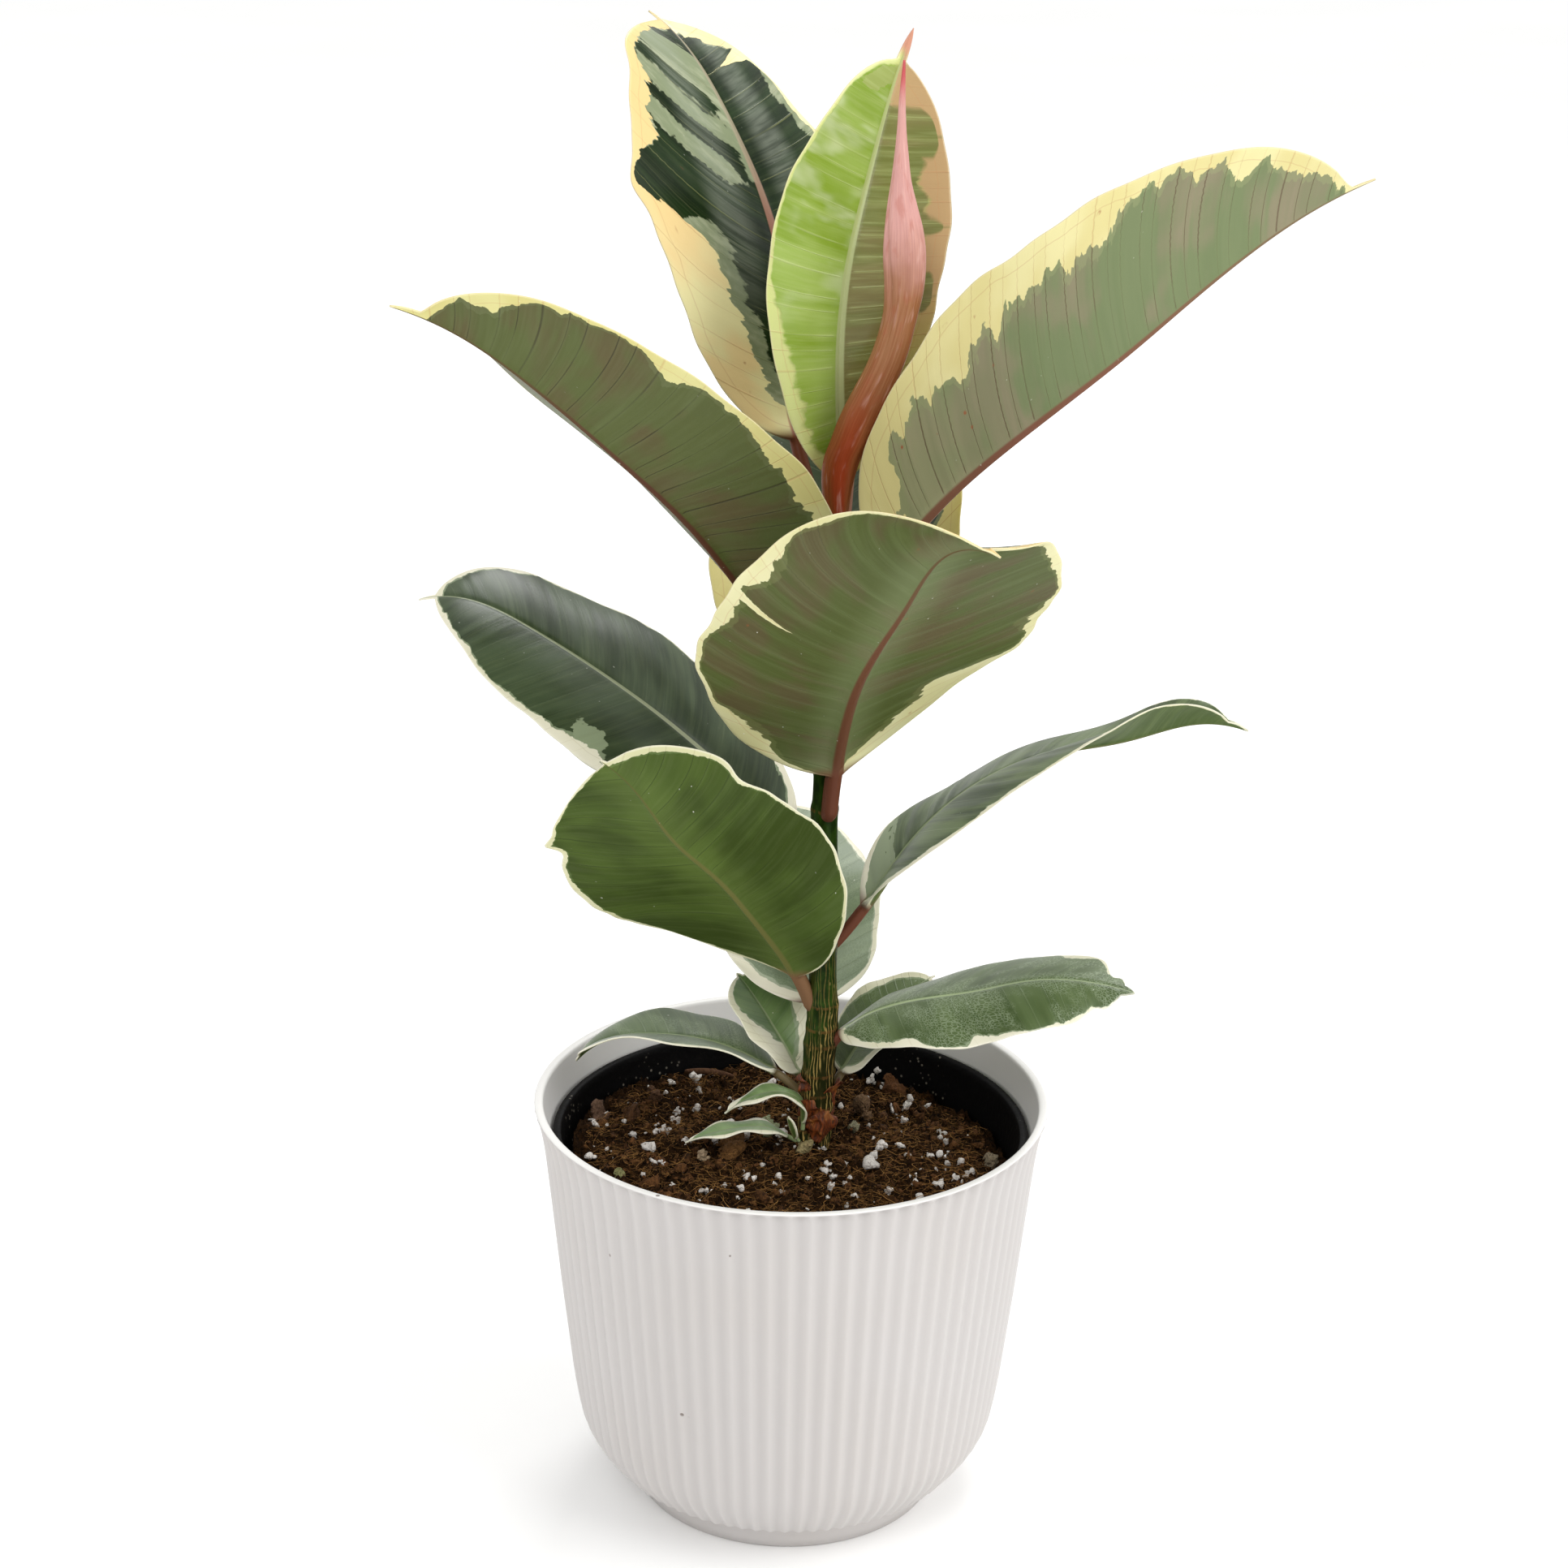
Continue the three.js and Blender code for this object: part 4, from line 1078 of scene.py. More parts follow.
# Leaves with broad yellow margins, and older ones with narrow cream margins. up and down are
# the greens of the two sides, margin and down_margin their margins, and edge the thin rim.
YELLOW_LOOK = dict(
    PLAIN_LOOK, up=["1f2b18", "3f4d34"], down=["535f2e", "5c5433"], between="7d865a",
    down_between="767c48", margin=["e3d28c", "e8c484"], down_margin=["e4dc9e", "d9cd84"],
    edge="f0e4bc", rib="ae6c58", down_rib="603422", flecks=0.5)
CREAM_LOOK = dict(
    PLAIN_LOOK, up=["36432a", "51603f"], down=["40521a", "53682c"], between="8b9878",
    down_between="708450", margin=["e6e2cb", "dddabd"], down_margin=["dcdab4", "d2d0a4"],
    edge="eeeada", rib="8f9b74", down_rib="6d7040", fringe=1, gloss=0.36, specks=0.6,
    margin_vein="b3a883", down_shade="334514", down_vein=0.3, down_groove_tone="7d9448",
    tail=0.25)
LOOKS = {
    "leaf_top_back": dict(
        YELLOW_LOOK, up=["0e1f05", "1f3313"], margin=["f8efb4", "fae0a4"], between="86906f",
        between_pale="a3a98a", margin_up="e8c888", rib="b86a5a", rib_width=1.5, rib_far=0.95,
        rib_tip="a09a80", spacing=6.5, vein_slope=[0.4, 0.2], vein_bend=[0.0042, 0.001],
        fan=[1.1, 0.2], vein=0.4, vein_tone="8c9058", vein_lift=0.1, groove=0.1, threads=0.04,
        left=[
            8, 10, 12, 14, 14.5, 15, 15, 14.5, 14, 11.4, 7.4, 3, 1.4, 2.6, 8, 5.3, 8, 4, 2.6, 3, 5],
        right=[4, 4, 4, 4, 4, 4, 4, 4, 4, 4, 4, 4, 3, 2.2, 2.5, 2, 1, 1.2, 4, 6, 6],
        streaks=[[-1, 0.82, 3, 14]], fringe=0.3, patch_edge=0.15,
        rays=[
            [1, 0.8, 8, 0, 0], [1, 0.635, 4, 5, 0], [1, 0.53, 3.4, 1.5, 9],
            [-1, 0.67, 5, -2.5, 99]],
        strips=[[1, 0.0, 0.44, 5], [-1, 0.66, 0.8, 4]], rib_strips=[[1, 0.57, 0.8, 3.2]],
        dents=[[1, 0.58, 0.07, -0.13], [1, 0.92, 0.06, -0.16], [1, 0.7, 0.3, -0.04]],
        tail=0.25, sheen=[12.5, 9, 0.34], gloss=0.26, shine=0.12),
    "leaf_top_young": dict(
        YELLOW_LOOK, up=["84a030", "9db656"], between="9aa858", margin=["ced687", "cdd08a"],
        right_up_with_shade=["6f7537", "7d7544"], right_margin_with_shade="ba9a6c", soften=1.0, fringe=0.2,
        left=[5, 5, 5, 4, 2, 0.8, 0.8, 0.8, 0.8, 1.5, 9],
        right=[3, 4, 5, 5, 6, 6, 6.5, 7, 7, 9, 12], patches=[[1, 0.88, 4, 6, 3]],
        fingers=[[-1, 0.78, 7, 2.2], [-1, 0.58, 3, 3], [-1, 0.42, 6, 2]],
        spacing=4.5, vein_slope=[0.02, 0.15], vein_bend=[0.002, 0.002], fan=[0.05, 0.15],
        vein=0.35, vein_tone="c0cc88", groove=0.16, groove_tone="b9c67c", threads=0.16,
        thread_tone="c4d08c", painted_sheen_haze=0.42, rib="bcc48c", down_rib="a9b07a", rib_width=1.5,
        tail=0.36, tip_share=1.0, tip="cf947a", gloss=0.24, specks=0.0, flecks=0.0),
    "leaf_upper_right": dict(
        YELLOW_LOOK, down=["7c8960", "968c72"], down_between="9ca475", down_shade="6c7d52",
        down_base_painted_light="a9a780", down_margin=["efe6aa", "e6da98"], down_rib="84503f", down_vein=0.65,
        down_vein_tone="5c4232", down_groove=0.1, bands=0.3, threads=0.05, spacing=4.6,
        left=[7, 7, 8, 9, 8, 7, 6, 5, 5, 4, 4],
        right=[
            6, 7, 9, 4.5, 6, 7, 14.5, 12.5, 13, 12, 10.5, 10, 9.5, 8.5, 6.5, 3.5, 3, 5.5, 4, 3, 2],
        flecks=0.9, jag=1.9, vein_slope=[0.25, 0.42], fan=[0.3, 0.5], shine=0.25),
    "leaf_upper_left": dict(
        YELLOW_LOOK, down=["555e2d", "5c5430"], down_between="6c744a", down_shade="444c24",
        down_margin=["dfd996", "d8cf86"], down_rib="5b3122", down_vein=0.8,
        down_vein_tone="34301a", down_groove=0.06, bands=0.16, threads=0.05, spacing=5,
        left=[
            7, 6, 5, 3.2, 7.5, 6.8, 4.6, 5, 7.5, 5.5, 2.5, 2.2, 2.5, 4.5, 1.5, 1.5, 2, 1.3, 4, 1.8,
            6],
        right=[4, 4, 3, 3, 4, 4, 5, 4, 3, 3, 5], tail=0.3, jag=1.3, shine=0.25,
        vein_slope=[-0.2, 0.33], vein_bend=[0.003, 0.0042], fan=[1.0, 0.3]),
    "leaf_front": dict(
        YELLOW_LOOK, down=["505a2a", "5b5233"], down_between="767c4a", down_shade="444c28",
        down_margin=["e4e0b0", "ddd8a0"], down_rib="6a3a28", down_vein=0.2, down_groove=0.12,
        beside=0.3, bands=0.16, threads=0.06, spacing=5.5, shine=0.25, specks=0.8,
        left=[
            5, 8, 9, 10, 13, 9, 6, 2.5, 1.5, 1.5, 4.5, 3, 2.5, 1.5, 1, 1.8, 2.5, 3, 2.5, 2.2, 1.5],
        right=[1.5, 2, 5, 4.5, 2.8, 1, 1, 1, 1.2, 1.5, 2.2, 3.5, 4, 3, 6, 4.5, 1.7, 2, 1.2, 1, 0.8],
        streaks=[[-1, 0.45, 1.6, 21]], lifts=[[1, 0.92, 0.08, 2.0]], tail=0.3),
    "leaf_back_middle": dict(
        YELLOW_LOOK, margin=["e2d68c", "ddd084"], left=[6, 6, 7, 7, 6, 5, 5, 5, 4, 4, 4],
        right=[8, 8, 8, 8, 7, 6, 5, 5, 4, 4, 4]),
    "leaf_left_middle": dict(
        CREAM_LOOK, up=["2a381f", "46553a"], rib="a0a684", gloss=0.3, spacing=5, vein=0.08,
        vein_bump=0.05, threads=0.06, patches=[[1, 0.49, 8, 6, 4.5]],
        left=[2, 2, 2, 2, 2, 2, 2, 2, 4, 5, 5, 3.5, 2, 2, 1.8, 1.3, 1.5, 1.6, 1.5, 1.2, 1],
        right=[3, 3, 1.5, 1, 0.8, 0.8, 0.8, 1, 1.5, 1.5, 2]),
    "leaf_left_front": dict(
        CREAM_LOOK, down=["364611", "475a1e"], down_vein=0.5, down_vein_tone="26330f",
        down_rib="6c6a38", rib_width=0.7, down_groove=0.06, beside=0.22, beside_tone="7d9448",
        bands=0.24, threads=0.05, spacing=5.5, shine=0.2, petiole="7d5c40",
        left=[0.5, 0.5, 0.8, 0.8, 0.8, 0.8, 0.8, 1, 1.2, 1.5, 1.5],
        right=[0.8, 0.8, 0.8, 1, 1, 1.3, 1.6, 1.6, 1, 0.6, 0.6],
        dents=[[-1, 0.785, 0.02, -0.09], [-1, 0.735, 0.024, 0.07], [1, 0.78, 0.05, 0.12]]),
    "leaf_right_middle": dict(
        CREAM_LOOK, up=["34451f", "64754a"], down=["44581f", "586c33"], vein_lift=0.26,
        gloss=0.38, spacing=7, shine=0.24, rays=[[1, 0.0, 15, 0, 0]], tail=0.5,
        left=[2.5, 2, 0.8, 0.5, 0.5, 0.5, 0.5, 0.5, 0.5, 0.4, 0.2],
        right=[2, 1.5, 1.2, 1.2, 1.5, 1, 1.5, 1.2, 0.8, 0.5, 0.2]),
    "leaf_back_low": dict(
        CREAM_LOOK, up=["718163", "89977a"], between="abb39a", leather_and_sheen=0.2,
        left=[3, 3, 3, 3, 3, 3, 2, 2, 2, 2, 2], right=[1.5],
        dents=[[-1, 0.35, 0.3, 0.2], [-1, 0.75, 0.2, 0.12]]),
    "leaf_right_low": dict(
        CREAM_LOOK, up=["43542e", "5e6f47"], rib="a5b586", leather_and_sheen=0.4, threads=0.05,
        left=[1, 0.5, 0.3, 0.3, 0.3, 0.3, 0.3, 1.2, 2, 0.5, 0.2],
        right=[2.5, 2.2, 2, 1.8, 0.3, 1.8, 1.8, 0.2, 1, 0.2, 0.2], jag=1.7, vein_lift=0.08,
        dents=[[1, 0.915, 0.03, 0.55], [-1, 0.9, 0.03, 0.3]], tail=0.9),
    "leaf_right_low_back": dict(
        CREAM_LOOK, up=["465632", "5f6f49"], leather_and_sheen=0.12, petiole="6f6040",
        left=[1, 1, 1, 1, 1, 2, 3, 3, 2, 2, 1], right=[2, 2, 2, 1.5, 1.5, 1.5, 1.5, 1.5, 1, 1, 1]),
    "leaf_left_low": dict(
        CREAM_LOOK, up=["435334", "5e6e4c"], leather_and_sheen=0.25, tail=0.6, petiole="6f6040",
        left=[1, 1, 1.2, 1.2, 1.2, 1, 1.2, 1.5, 1.2, 1, 0.2],
        right=[1, 0.6, 0.5, 0.4, 0.4, 0.4, 0.4, 0.4, 0.5, 0.5, 0.2]),
    "leaf_left_inner": dict(
        CREAM_LOOK, up=["587242", "78905a"], tail=0.8, jag=1.8, petiole="7d8450",
        left=[9, 9, 8.5, 8, 7, 6, 4.5, 3, 2, 1, 0.5], dents=[[1, 0.75, 0.3, -0.35]],
        right=[4, 4.5, 4.5, 4.5, 4, 3.5, 3, 2.5, 2, 1, 0.5]),
    "leaf_shoot_upper": dict(
        CREAM_LOOK, up=["647c4c", "7f9664"], petiole="90a070",
        left=[0.6, 0.7, 0.8, 0.8, 0.9, 0.9, 1, 1.2, 1.6, 2, 2],
        right=[0.6, 0.7, 0.7, 0.6, 0.6, 0.7, 0.8, 1, 1.5, 2, 2]),
    "leaf_shoot_lower": dict(
        CREAM_LOOK, up=["728a5e", "8fa478"], petiole="90a070",
        left=[0.6, 0.9, 1.2, 1.2, 1, 1, 1, 1, 0.9, 0.8, 0.8],
        right=[0.6, 0.7, 0.9, 1.2, 1.2, 1, 0.9, 0.8, 0.8, 0.8, 0.8]),
    "leaf_shoot_tiny": dict(
        CREAM_LOOK, up=["668048", "82985e"], left=[0.5], right=[0.5], wave=[0.1, 1],
        petiole="90a070"),
}


def blade_share(s, shape, tail_width):
    """Half width at share s: two elliptic ends that meet at the widest place, and a drip tip."""
    widest, base, tip, drip = shape
    t = np.minimum(s / (1 - drip), 1)
    tail = 2.2 * tail_width * s ** 8 * np.maximum(0, 1 - s) ** 0.8
    low = np.maximum(0, 1 - (1 - t / widest) ** 2) ** base
    high = np.maximum(0, 1 - ((t - widest) / (1 - widest)) ** 2) ** tip
    return np.where(t < widest, low, high) + tail


def leaf_path(leaf, distance):
    """Points, directions and headings of the midrib at distances from its foot.

    The direction turns as heading and pitch say, and the point is the sum of short steps
    in that direction; before the foot the midrib runs straight into the stem.
    """
    total = leaf["petiole"] + leaf["length"]

    def direction(s):
        h = np.radians(along(leaf["heading"], s))
        inside = min(leaf["pitch"][0], ROOT_PITCH)
        p = np.radians(np.where(s < 0, inside, along(leaf["pitch"], s)))
        return h, np.stack([np.cos(p) * np.cos(h), np.cos(p) * np.sin(h), np.sin(p)], -1)

    steps = 400
    heading = math.radians(leaf["heading"][0])
    if isinstance(leaf["foot"], list):
        foot = np.array(leaf["foot"], float)
    else:
        out = np.array([math.cos(heading), math.sin(heading), 0]) * FOOT_OFFSET
        foot = np.array([stem_at(leaf["foot"])[0], 0, leaf["foot"]]) + out
    middles = direction((np.arange(steps) + 0.5) / steps)[1]
    path = foot + np.concatenate([[[0, 0, 0]], np.cumsum(middles, 0) * total / steps])
    s = distance / total
    h, tangent = direction(s)
    point = np.stack([np.interp(s, np.linspace(0, 1, steps + 1), path[:, k]) for k in range(3)], -1)
    point += tangent * np.minimum(s, 0)[:, None] * total
    return point, tangent, h


def margin_distance(x, y, half, b):
    """Distance in the flat blade from each point to its side's margin, and that margin's share."""
    fine = np.linspace(0, len(b) - 1, 4 * len(b))
    whole = np.arange(len(b))
    edge_x, edge_y, edge_b = (np.interp(fine, whole, v) for v in (half, y, b))
    gap = np.hypot(x[..., None] - edge_x, y[:, None, None] - edge_y)
    nearest = gap.argmin(-1)
    return np.take_along_axis(gap, nearest[..., None], -1)[..., 0], edge_b[nearest]


def leaf_stations(leaf, rows):
    """Shares of the blade from the leaf's foot to its tip, with the midrib's point there and
    the directions to the leaf's left and up. Shares below 0 lie on the petiole.
    """
    steps = np.linspace(0, 1, rows)
    b_blade = 0.55 * steps + 0.45 * (0.5 - 0.5 * np.cos(math.pi * steps))
    root = 0.0 if isinstance(leaf["foot"], list) else -ROOT_DEPTH
    petiole, length = leaf["petiole"], leaf["length"]
    distance = np.concatenate([
        np.linspace(root, petiole, PETIOLE_ROWS)[:-1], petiole + b_blade * length])
    b = (distance - petiole) / length
    point, tangent, h = leaf_path(leaf, distance)
    flat = np.stack([-np.sin(h), np.cos(h), 0 * h], -1)
    up = np.cross(tangent, flat)
    roll = np.radians(along(leaf["roll"], b))[:, None]
    left, normal = flat * np.cos(roll) + up * np.sin(roll), up * np.cos(roll) - flat * np.sin(roll)
    return b, point, left, normal


def on_side(rows, side):
    """A look's rows for one side, without the side itself."""
    return [row[1:] for row in rows if row[0] == side]


def half_width(leaf, look, side, b, phase, seed):
    """Half width at each station: the blade's, dented and faintly rippled, or the petiole's."""
    dent = sum(
        depth * np.exp(-((b - at) / size) ** 2) for at, size, depth in on_side(look["dents"], side))
    ripple = 1 + 0.012 * np.sin(b * 23 + phase) + 0.006 * np.sin(b * 57 + seed)
    share = np.where(b > 0, blade_share(np.maximum(b, 0), leaf["shape"], look["tail"]), 0)
    flat = leaf["width"] / 2 * share * (1 - dent) * ripple
    return np.maximum(np.hypot(flat, leaf["stalk"] * (1 - np.maximum(b, 0)) ** 2), 0.14)


def vein_start(look, hand, x, y, length, spacing, seed):
    """How far up the midrib the side vein through each point of the flat blade leaves it."""
    climb = look["vein_slope"][hand] + look["fan"][hand] * np.maximum(0, y / length - 0.3)
    v = y - climb * x - look["vein_bend"][hand] * x ** 2
    return v + spacing * (0.17 * np.sin(2.6 * v / spacing + seed + hand) + 0.5 * hand)


def blade_lift(look, hand, side, b, t, x, v, blade, spacing, seed, phase):
    """How far the blade stands off its arc: low veins, and waves that grow towards the margin."""
    vein = look["vein_lift"] * -np.cos(TURN * v / spacing)
    vein = vein * (0.6 + 0.4 * np.sin(v * 0.31 + seed) * np.sin(v * 0.11 + 2 * hand))
    vein = vein * smoothstep(x, 0.8, 5) * (1 - smoothstep(t, 0.8, 0.98)) * blade
    height, count = look["wave"]
    wave = height * t ** 2 * np.sin(TURN * (count * b) + phase)
    for at, size, amount in on_side(look["lifts"], side):
        wave = wave + amount * t ** 2 * np.exp(-((b - at) / size) ** 2)
    return vein + wave * smoothstep(b, 0.02, 0.2) * (1 - smoothstep(b, 0.9, 1.0))


def window(s, first, last):
    """1 between two shares, falling to 0 within 0.05 outside them."""
    return smoothstep(s, first - 0.05, first) * (1 - smoothstep(s, last, last + 0.05))


def pale_places(look, side, length, x, y, v, inset, near, margin):
    """How far inside a patch, ray or strip each point is: 1 in its middle and 0 at its edge."""
    pale = np.full_like(x, -2.0)
    for at, inward, long, broad in on_side(look["patches"], side):
        spread = ((y - at * length) / long) ** 2 + ((inset - inward) / broad) ** 2
        pale = np.maximum(pale, 1 - spread)
    for at, size, near_margin, near_rib in on_side(look["rays"], side):
        spread = ((v - at * length) / size) ** 2 + np.maximum(0, near_margin - inset) / 3
        pale = np.maximum(pale, 1 - spread - np.maximum(0, near_rib - x) / 3)
    for rows, share, away in (
            ("strips", near, inset - margin), ("rib_strips", y / length, x)):
        for first, last, broad in on_side(look[rows], side):
            here = window(share, first, last)
            pale = np.maximum(pale, (1 - away / broad) * 1.2 * here - (1 - here))
    return pale


def half_section(leaf, look, hand, b, t, blade, thickness, spacing, seed, rng):
    """One half of a leaf: its arc's sideways and upward reach, slope and lift, the depth of
    its upper and lower face, and what its finish reads.
    """
    side, length, stalk = (1, -1)[hand], leaf["length"], leaf["stalk"]
    half = half_width(leaf, look, side, b, rng.uniform(0, TURN), seed)
    inset, near = margin_distance(t * half[:, None], b * length, half, b)
    fold = np.radians(along(leaf["fold"][hand], b))[:, None]
    curl = np.radians(along(leaf["curl"][hand], b))[:, None]
    curl = np.where(np.abs(curl) < 1e-4, 1e-4, curl)
    b, half = b[:, None], half[:, None]
    x, y = t * half, b * length
    across = (np.sin(fold + curl * t) - np.sin(fold)) / curl * half * side
    rise = (np.cos(fold) - np.cos(fold + curl * t)) / curl * half
    slope = (fold + curl * t) * side * smoothstep(x, 0.0, 1.2)
    v = vein_start(look, hand, x, y, length, spacing, seed)
    lift = blade_lift(
        look, hand, side, b, t, x, v, blade, spacing, seed, rng.uniform(0, TURN))

    rib = stalk * 0.8 * np.maximum(1 - b, 0) ** 0.9 + 0.16
    rib = np.where(b < 0, stalk, rib)
    plate = thickness / 2 * np.sqrt(1 - t ** 24)
    round_ = np.sqrt(np.maximum(0, 1 - t ** 2)) * stalk
    groove = 0.22 * np.exp(-(x / 0.9) ** 2)
    above = round_ + (plate - groove - round_) * blade
    below = round_ + (plate + rib * np.exp(-0.9 * (x / rib) ** 2) - round_) * blade

    margin = along(look["left" if side > 0 else "right"], near)
    border = (inset - margin) / np.clip(margin / 4, 0.22, 1.1)
    pale = pale_places(look, side, length, x, y, v, inset, near, margin)
    fields = [x * side, v, inset, border, x / (rib * look["rib_width"]), pale]
    return across, rise, slope, lift, above, below, fields


def leaf_skin(leaf, look, rows, columns, thickness, spacing, seed):
    """A leaf's closed skin and what its finish reads.

    At each station of the midrib a half section bends away from the midrib on a circular
    arc: at share t of its width its slope is fold + curl * t. The plate is thickness deep with
    a round rim, a half-round rib runs below the midrib and a shallow groove above it, both
    growing out of the round petiole, and low waves follow the side veins and the margin.
    """
    b, point, left, normal = leaf_stations(leaf, rows)
    blade = smoothstep(b, -0.02, 0.06)[:, None]
    round_share = np.sin(np.arange(columns) / (columns - 1) * math.pi / 2)
    wide = np.concatenate([(np.arange(columns - 2) / (columns - 3)) ** 1.55 * 0.965, [0.99, 1.0]])
    t = round_share + blade * (wide - round_share)
    rng = np.random.default_rng(seed)

    def faces_of(hand):
        """The upper and the lower face of one half, with their fields."""
        across, rise, slope, lift, above, below, fields = half_section(
            leaf, look, hand, b, t, blade, thickness, spacing, seed, rng)
        for under, depth in ((0, above), (1, -below)):
            d = depth + lift
            at = (
                point[:, None] + left[:, None] * (across - d * np.sin(slope))[..., None]
                + normal[:, None] * (rise + d * np.cos(slope))[..., None])
            side = [np.full_like(d, under), 1 - blade + 0 * d, b[:, None] + 0 * d]
            yield np.concatenate([at, np.stack([*fields, *side], -1)], -1)

    left_top, left_low = faces_of(0)
    right_top, right_low = faces_of(1)
    left_top[:, -1, 9] = right_top[:, -1, 9] = 0.5
    ring = np.concatenate([
        left_top[:, ::-1], right_top[:, 1:], right_low[:, -2:0:-1], left_low[:, :-1]], 1)
    points, faces = tube_skin(ring[..., :3])
    ends = [ring[0, columns, 3:], ring[-1, columns, 3:]]
    fields = np.concatenate([ring[..., 3:].reshape(-1, 9), ends])
    return points, faces, {"lay": fields[:, :3], "look": fields[:, 3:6], "side": fields[:, 6:]}


class LeafFinish(Finish):
    """A variegated leaf: jagged margins, tones that follow the side veins, veins and a midrib.

    The mesh's fields give each point its distance across (x) and the place where its vein
    leaves the midrib (v), so noise stretched along x makes streaks that run with the veins.
    b is the share along the blade, and under is 1 on the under side.
    """

    def __init__(self, name, look, length, seed):
        super().__init__(name)
        self.look, self.length, self.seed = look, length, seed
        self.x, self.v, self.inset = self.field("lay")
        self.border, self.rib, self.pale = self.field("look")
        under, self.stalk, self.b = self.field("side")
        self.under = under.step(0.44, 0.56)
        self.fingers = self.streaky(0.12, 0, 0.17)
        self.teeth = self.streaky(0.4, 7, 0.6, 2.5, 0.6)
        self.bands = self.streaky(0.1, 1, 0.2, 2.5, 0.6)
        self.cloud = self.streaky(0.8, 3, 0.06)
        self.threads = self.streaky(0.06, 4, 0.9, 2.5, 0.6)
        self.streaks = (self.bands - 0.5) * 2.4 + (self.teeth - 0.5) * 1.6

    def spread(self, layer):
        """The flat blade's coordinates, in one layer of the noise."""
        return self.vector(self.v, self.x, self.seed + layer)

    def streaky(self, stretch, layer, scale, detail=2, roughness=0.5):
        """Noise stretched along the veins, in its own layer."""
        place = self.vector(self.v, self.x * stretch, self.seed + layer)
        return self.noise(place, scale, detail, roughness)

    @cached_property
    def wobble(self):
        """How far streaks and fingers stray from their veins."""
        return (self.teeth - 0.5) * 1.2 + (self.fingers - 0.5) * 1.5

    def tones(self, factor, key):
        """A colour between the two tones that the look lists under a name."""
        return self.mix(factor, *self.look[key])

    def run(self, side, width, centre, soften):
        """A tongue of one tone in another along the vein at centre, on one side."""
        tongue = (width - (self.v + self.wobble - centre).size()).step(-soften, soften)
        return tongue * (self.x * side).step(0.0, 0.3)

    def borders(self, jag):
        """How green each point is, and how far in the tone between green and margin reaches."""
        look = self.look
        edge = self.border + ((self.fingers - 0.5) * (jag * 2.6) + (self.teeth - 0.5) * (jag * 0.9))
        for side, at, size, depth in look["streaks"]:
            width = (self.inset * (-1 / depth) + 1.1).math("MAXIMUM", 0.0) * size
            edge = edge - self.run(side, width, at * self.length, 0.12) * 30
        soften = look["soften"]
        green = edge.step(-soften, soften)
        for side, at, size, reach in look["fingers"]:
            width = (self.inset * (1 / reach) - 0.7).math("MAXIMUM", 0.0).math("MINIMUM", 1.0)
            run_out = self.run(side, width.math("POWER", 0.4) * size, at * self.length, soften)
            green = green.math("MAXIMUM", run_out)
            edge = edge + run_out * 30
        soft = look["patch_edge"]
        patch = (self.pale + self.streaks).step(0.05 - soft, 0.05 + soft)
        fringe = 1 - (edge - look["fringe"] - (self.bands - 0.5) * 5).step(-0.2, 0.2)
        return green, (fringe * 0.8 + patch).math("MINIMUM", 1.0)

    def upper_side(self, between):
        """The upper side's green and its margin."""
        look, x, b = self.look, self.x, self.b
        clouds = (self.bands * 0.45 + self.cloud * 0.55).step(0.38, 0.62)
        upper = self.tones(clouds, "up")
        # Painted sheen: a whitish haze in streaky patches on the upper side.
        painted_sheen_haze = self.streaky(0.4, 6, 0.16).step(0.48, 0.7) * b.step(0.3, 0.5)
        upper = self.mix(painted_sheen_haze * look["painted_sheen_haze"], upper, "dfe4c0")
        rim = self.tones(self.cloud.step(0.4, 0.62), "margin")
        if look["margin_up"]:
            rim = self.mix(b.step(0.3, 0.6) * x.step(-0.2, 0.2) * 0.85, rim, look["margin_up"])
        # The right half takes its own greens and margin: partly the leaf's olive and tan, and
        # partly painted shade.
        if look["right_up_with_shade"]:
            left_half = x.step(-0.2, 0.2)
            upper = self.mix(left_half, self.tones(clouds, "right_up_with_shade"), upper)
            right_rim_with_shade = self.mix(b.step(0.2, 0.5), rim, look["right_margin_with_shade"])
            rim = self.mix(left_half, right_rim_with_shade, rim)
        paler = self.mix(
            self.streaks.step(-0.2, 0.5), look["between"], look["between_pale"] or look["between"])
        return self.mix(between, upper, paler), rim

    def under_side(self, between):
        """The under side's green and its margin."""
        look = self.look
        lower = self.tones((self.cloud * 0.65 + self.bands * 0.35).step(0.44, 0.6), "down")
        # Painted light: the under side lighter towards the base.
        if look["down_base_painted_light"]:
            lower = self.mix(1 - self.b.step(0.05, 0.4), lower, look["down_base_painted_light"])
        # Painted shade: darker bands along the veins on the under side.
        shade = self.mix(self.bands.step(0.4, 0.65) * look["bands"], lower, look["down_shade"])
        rim = self.tones(self.cloud.step(0.4, 0.62), "down_margin")
        return self.mix(between * 0.5, shade, look["down_between"]), rim

    def drawn(self, green, vein, groove):
        """The green with painted shade and light along the vein grooves, threads, painted sheen, a
        net that is partly painted sheen, and veins.
        """
        look, under = self.look, self.under
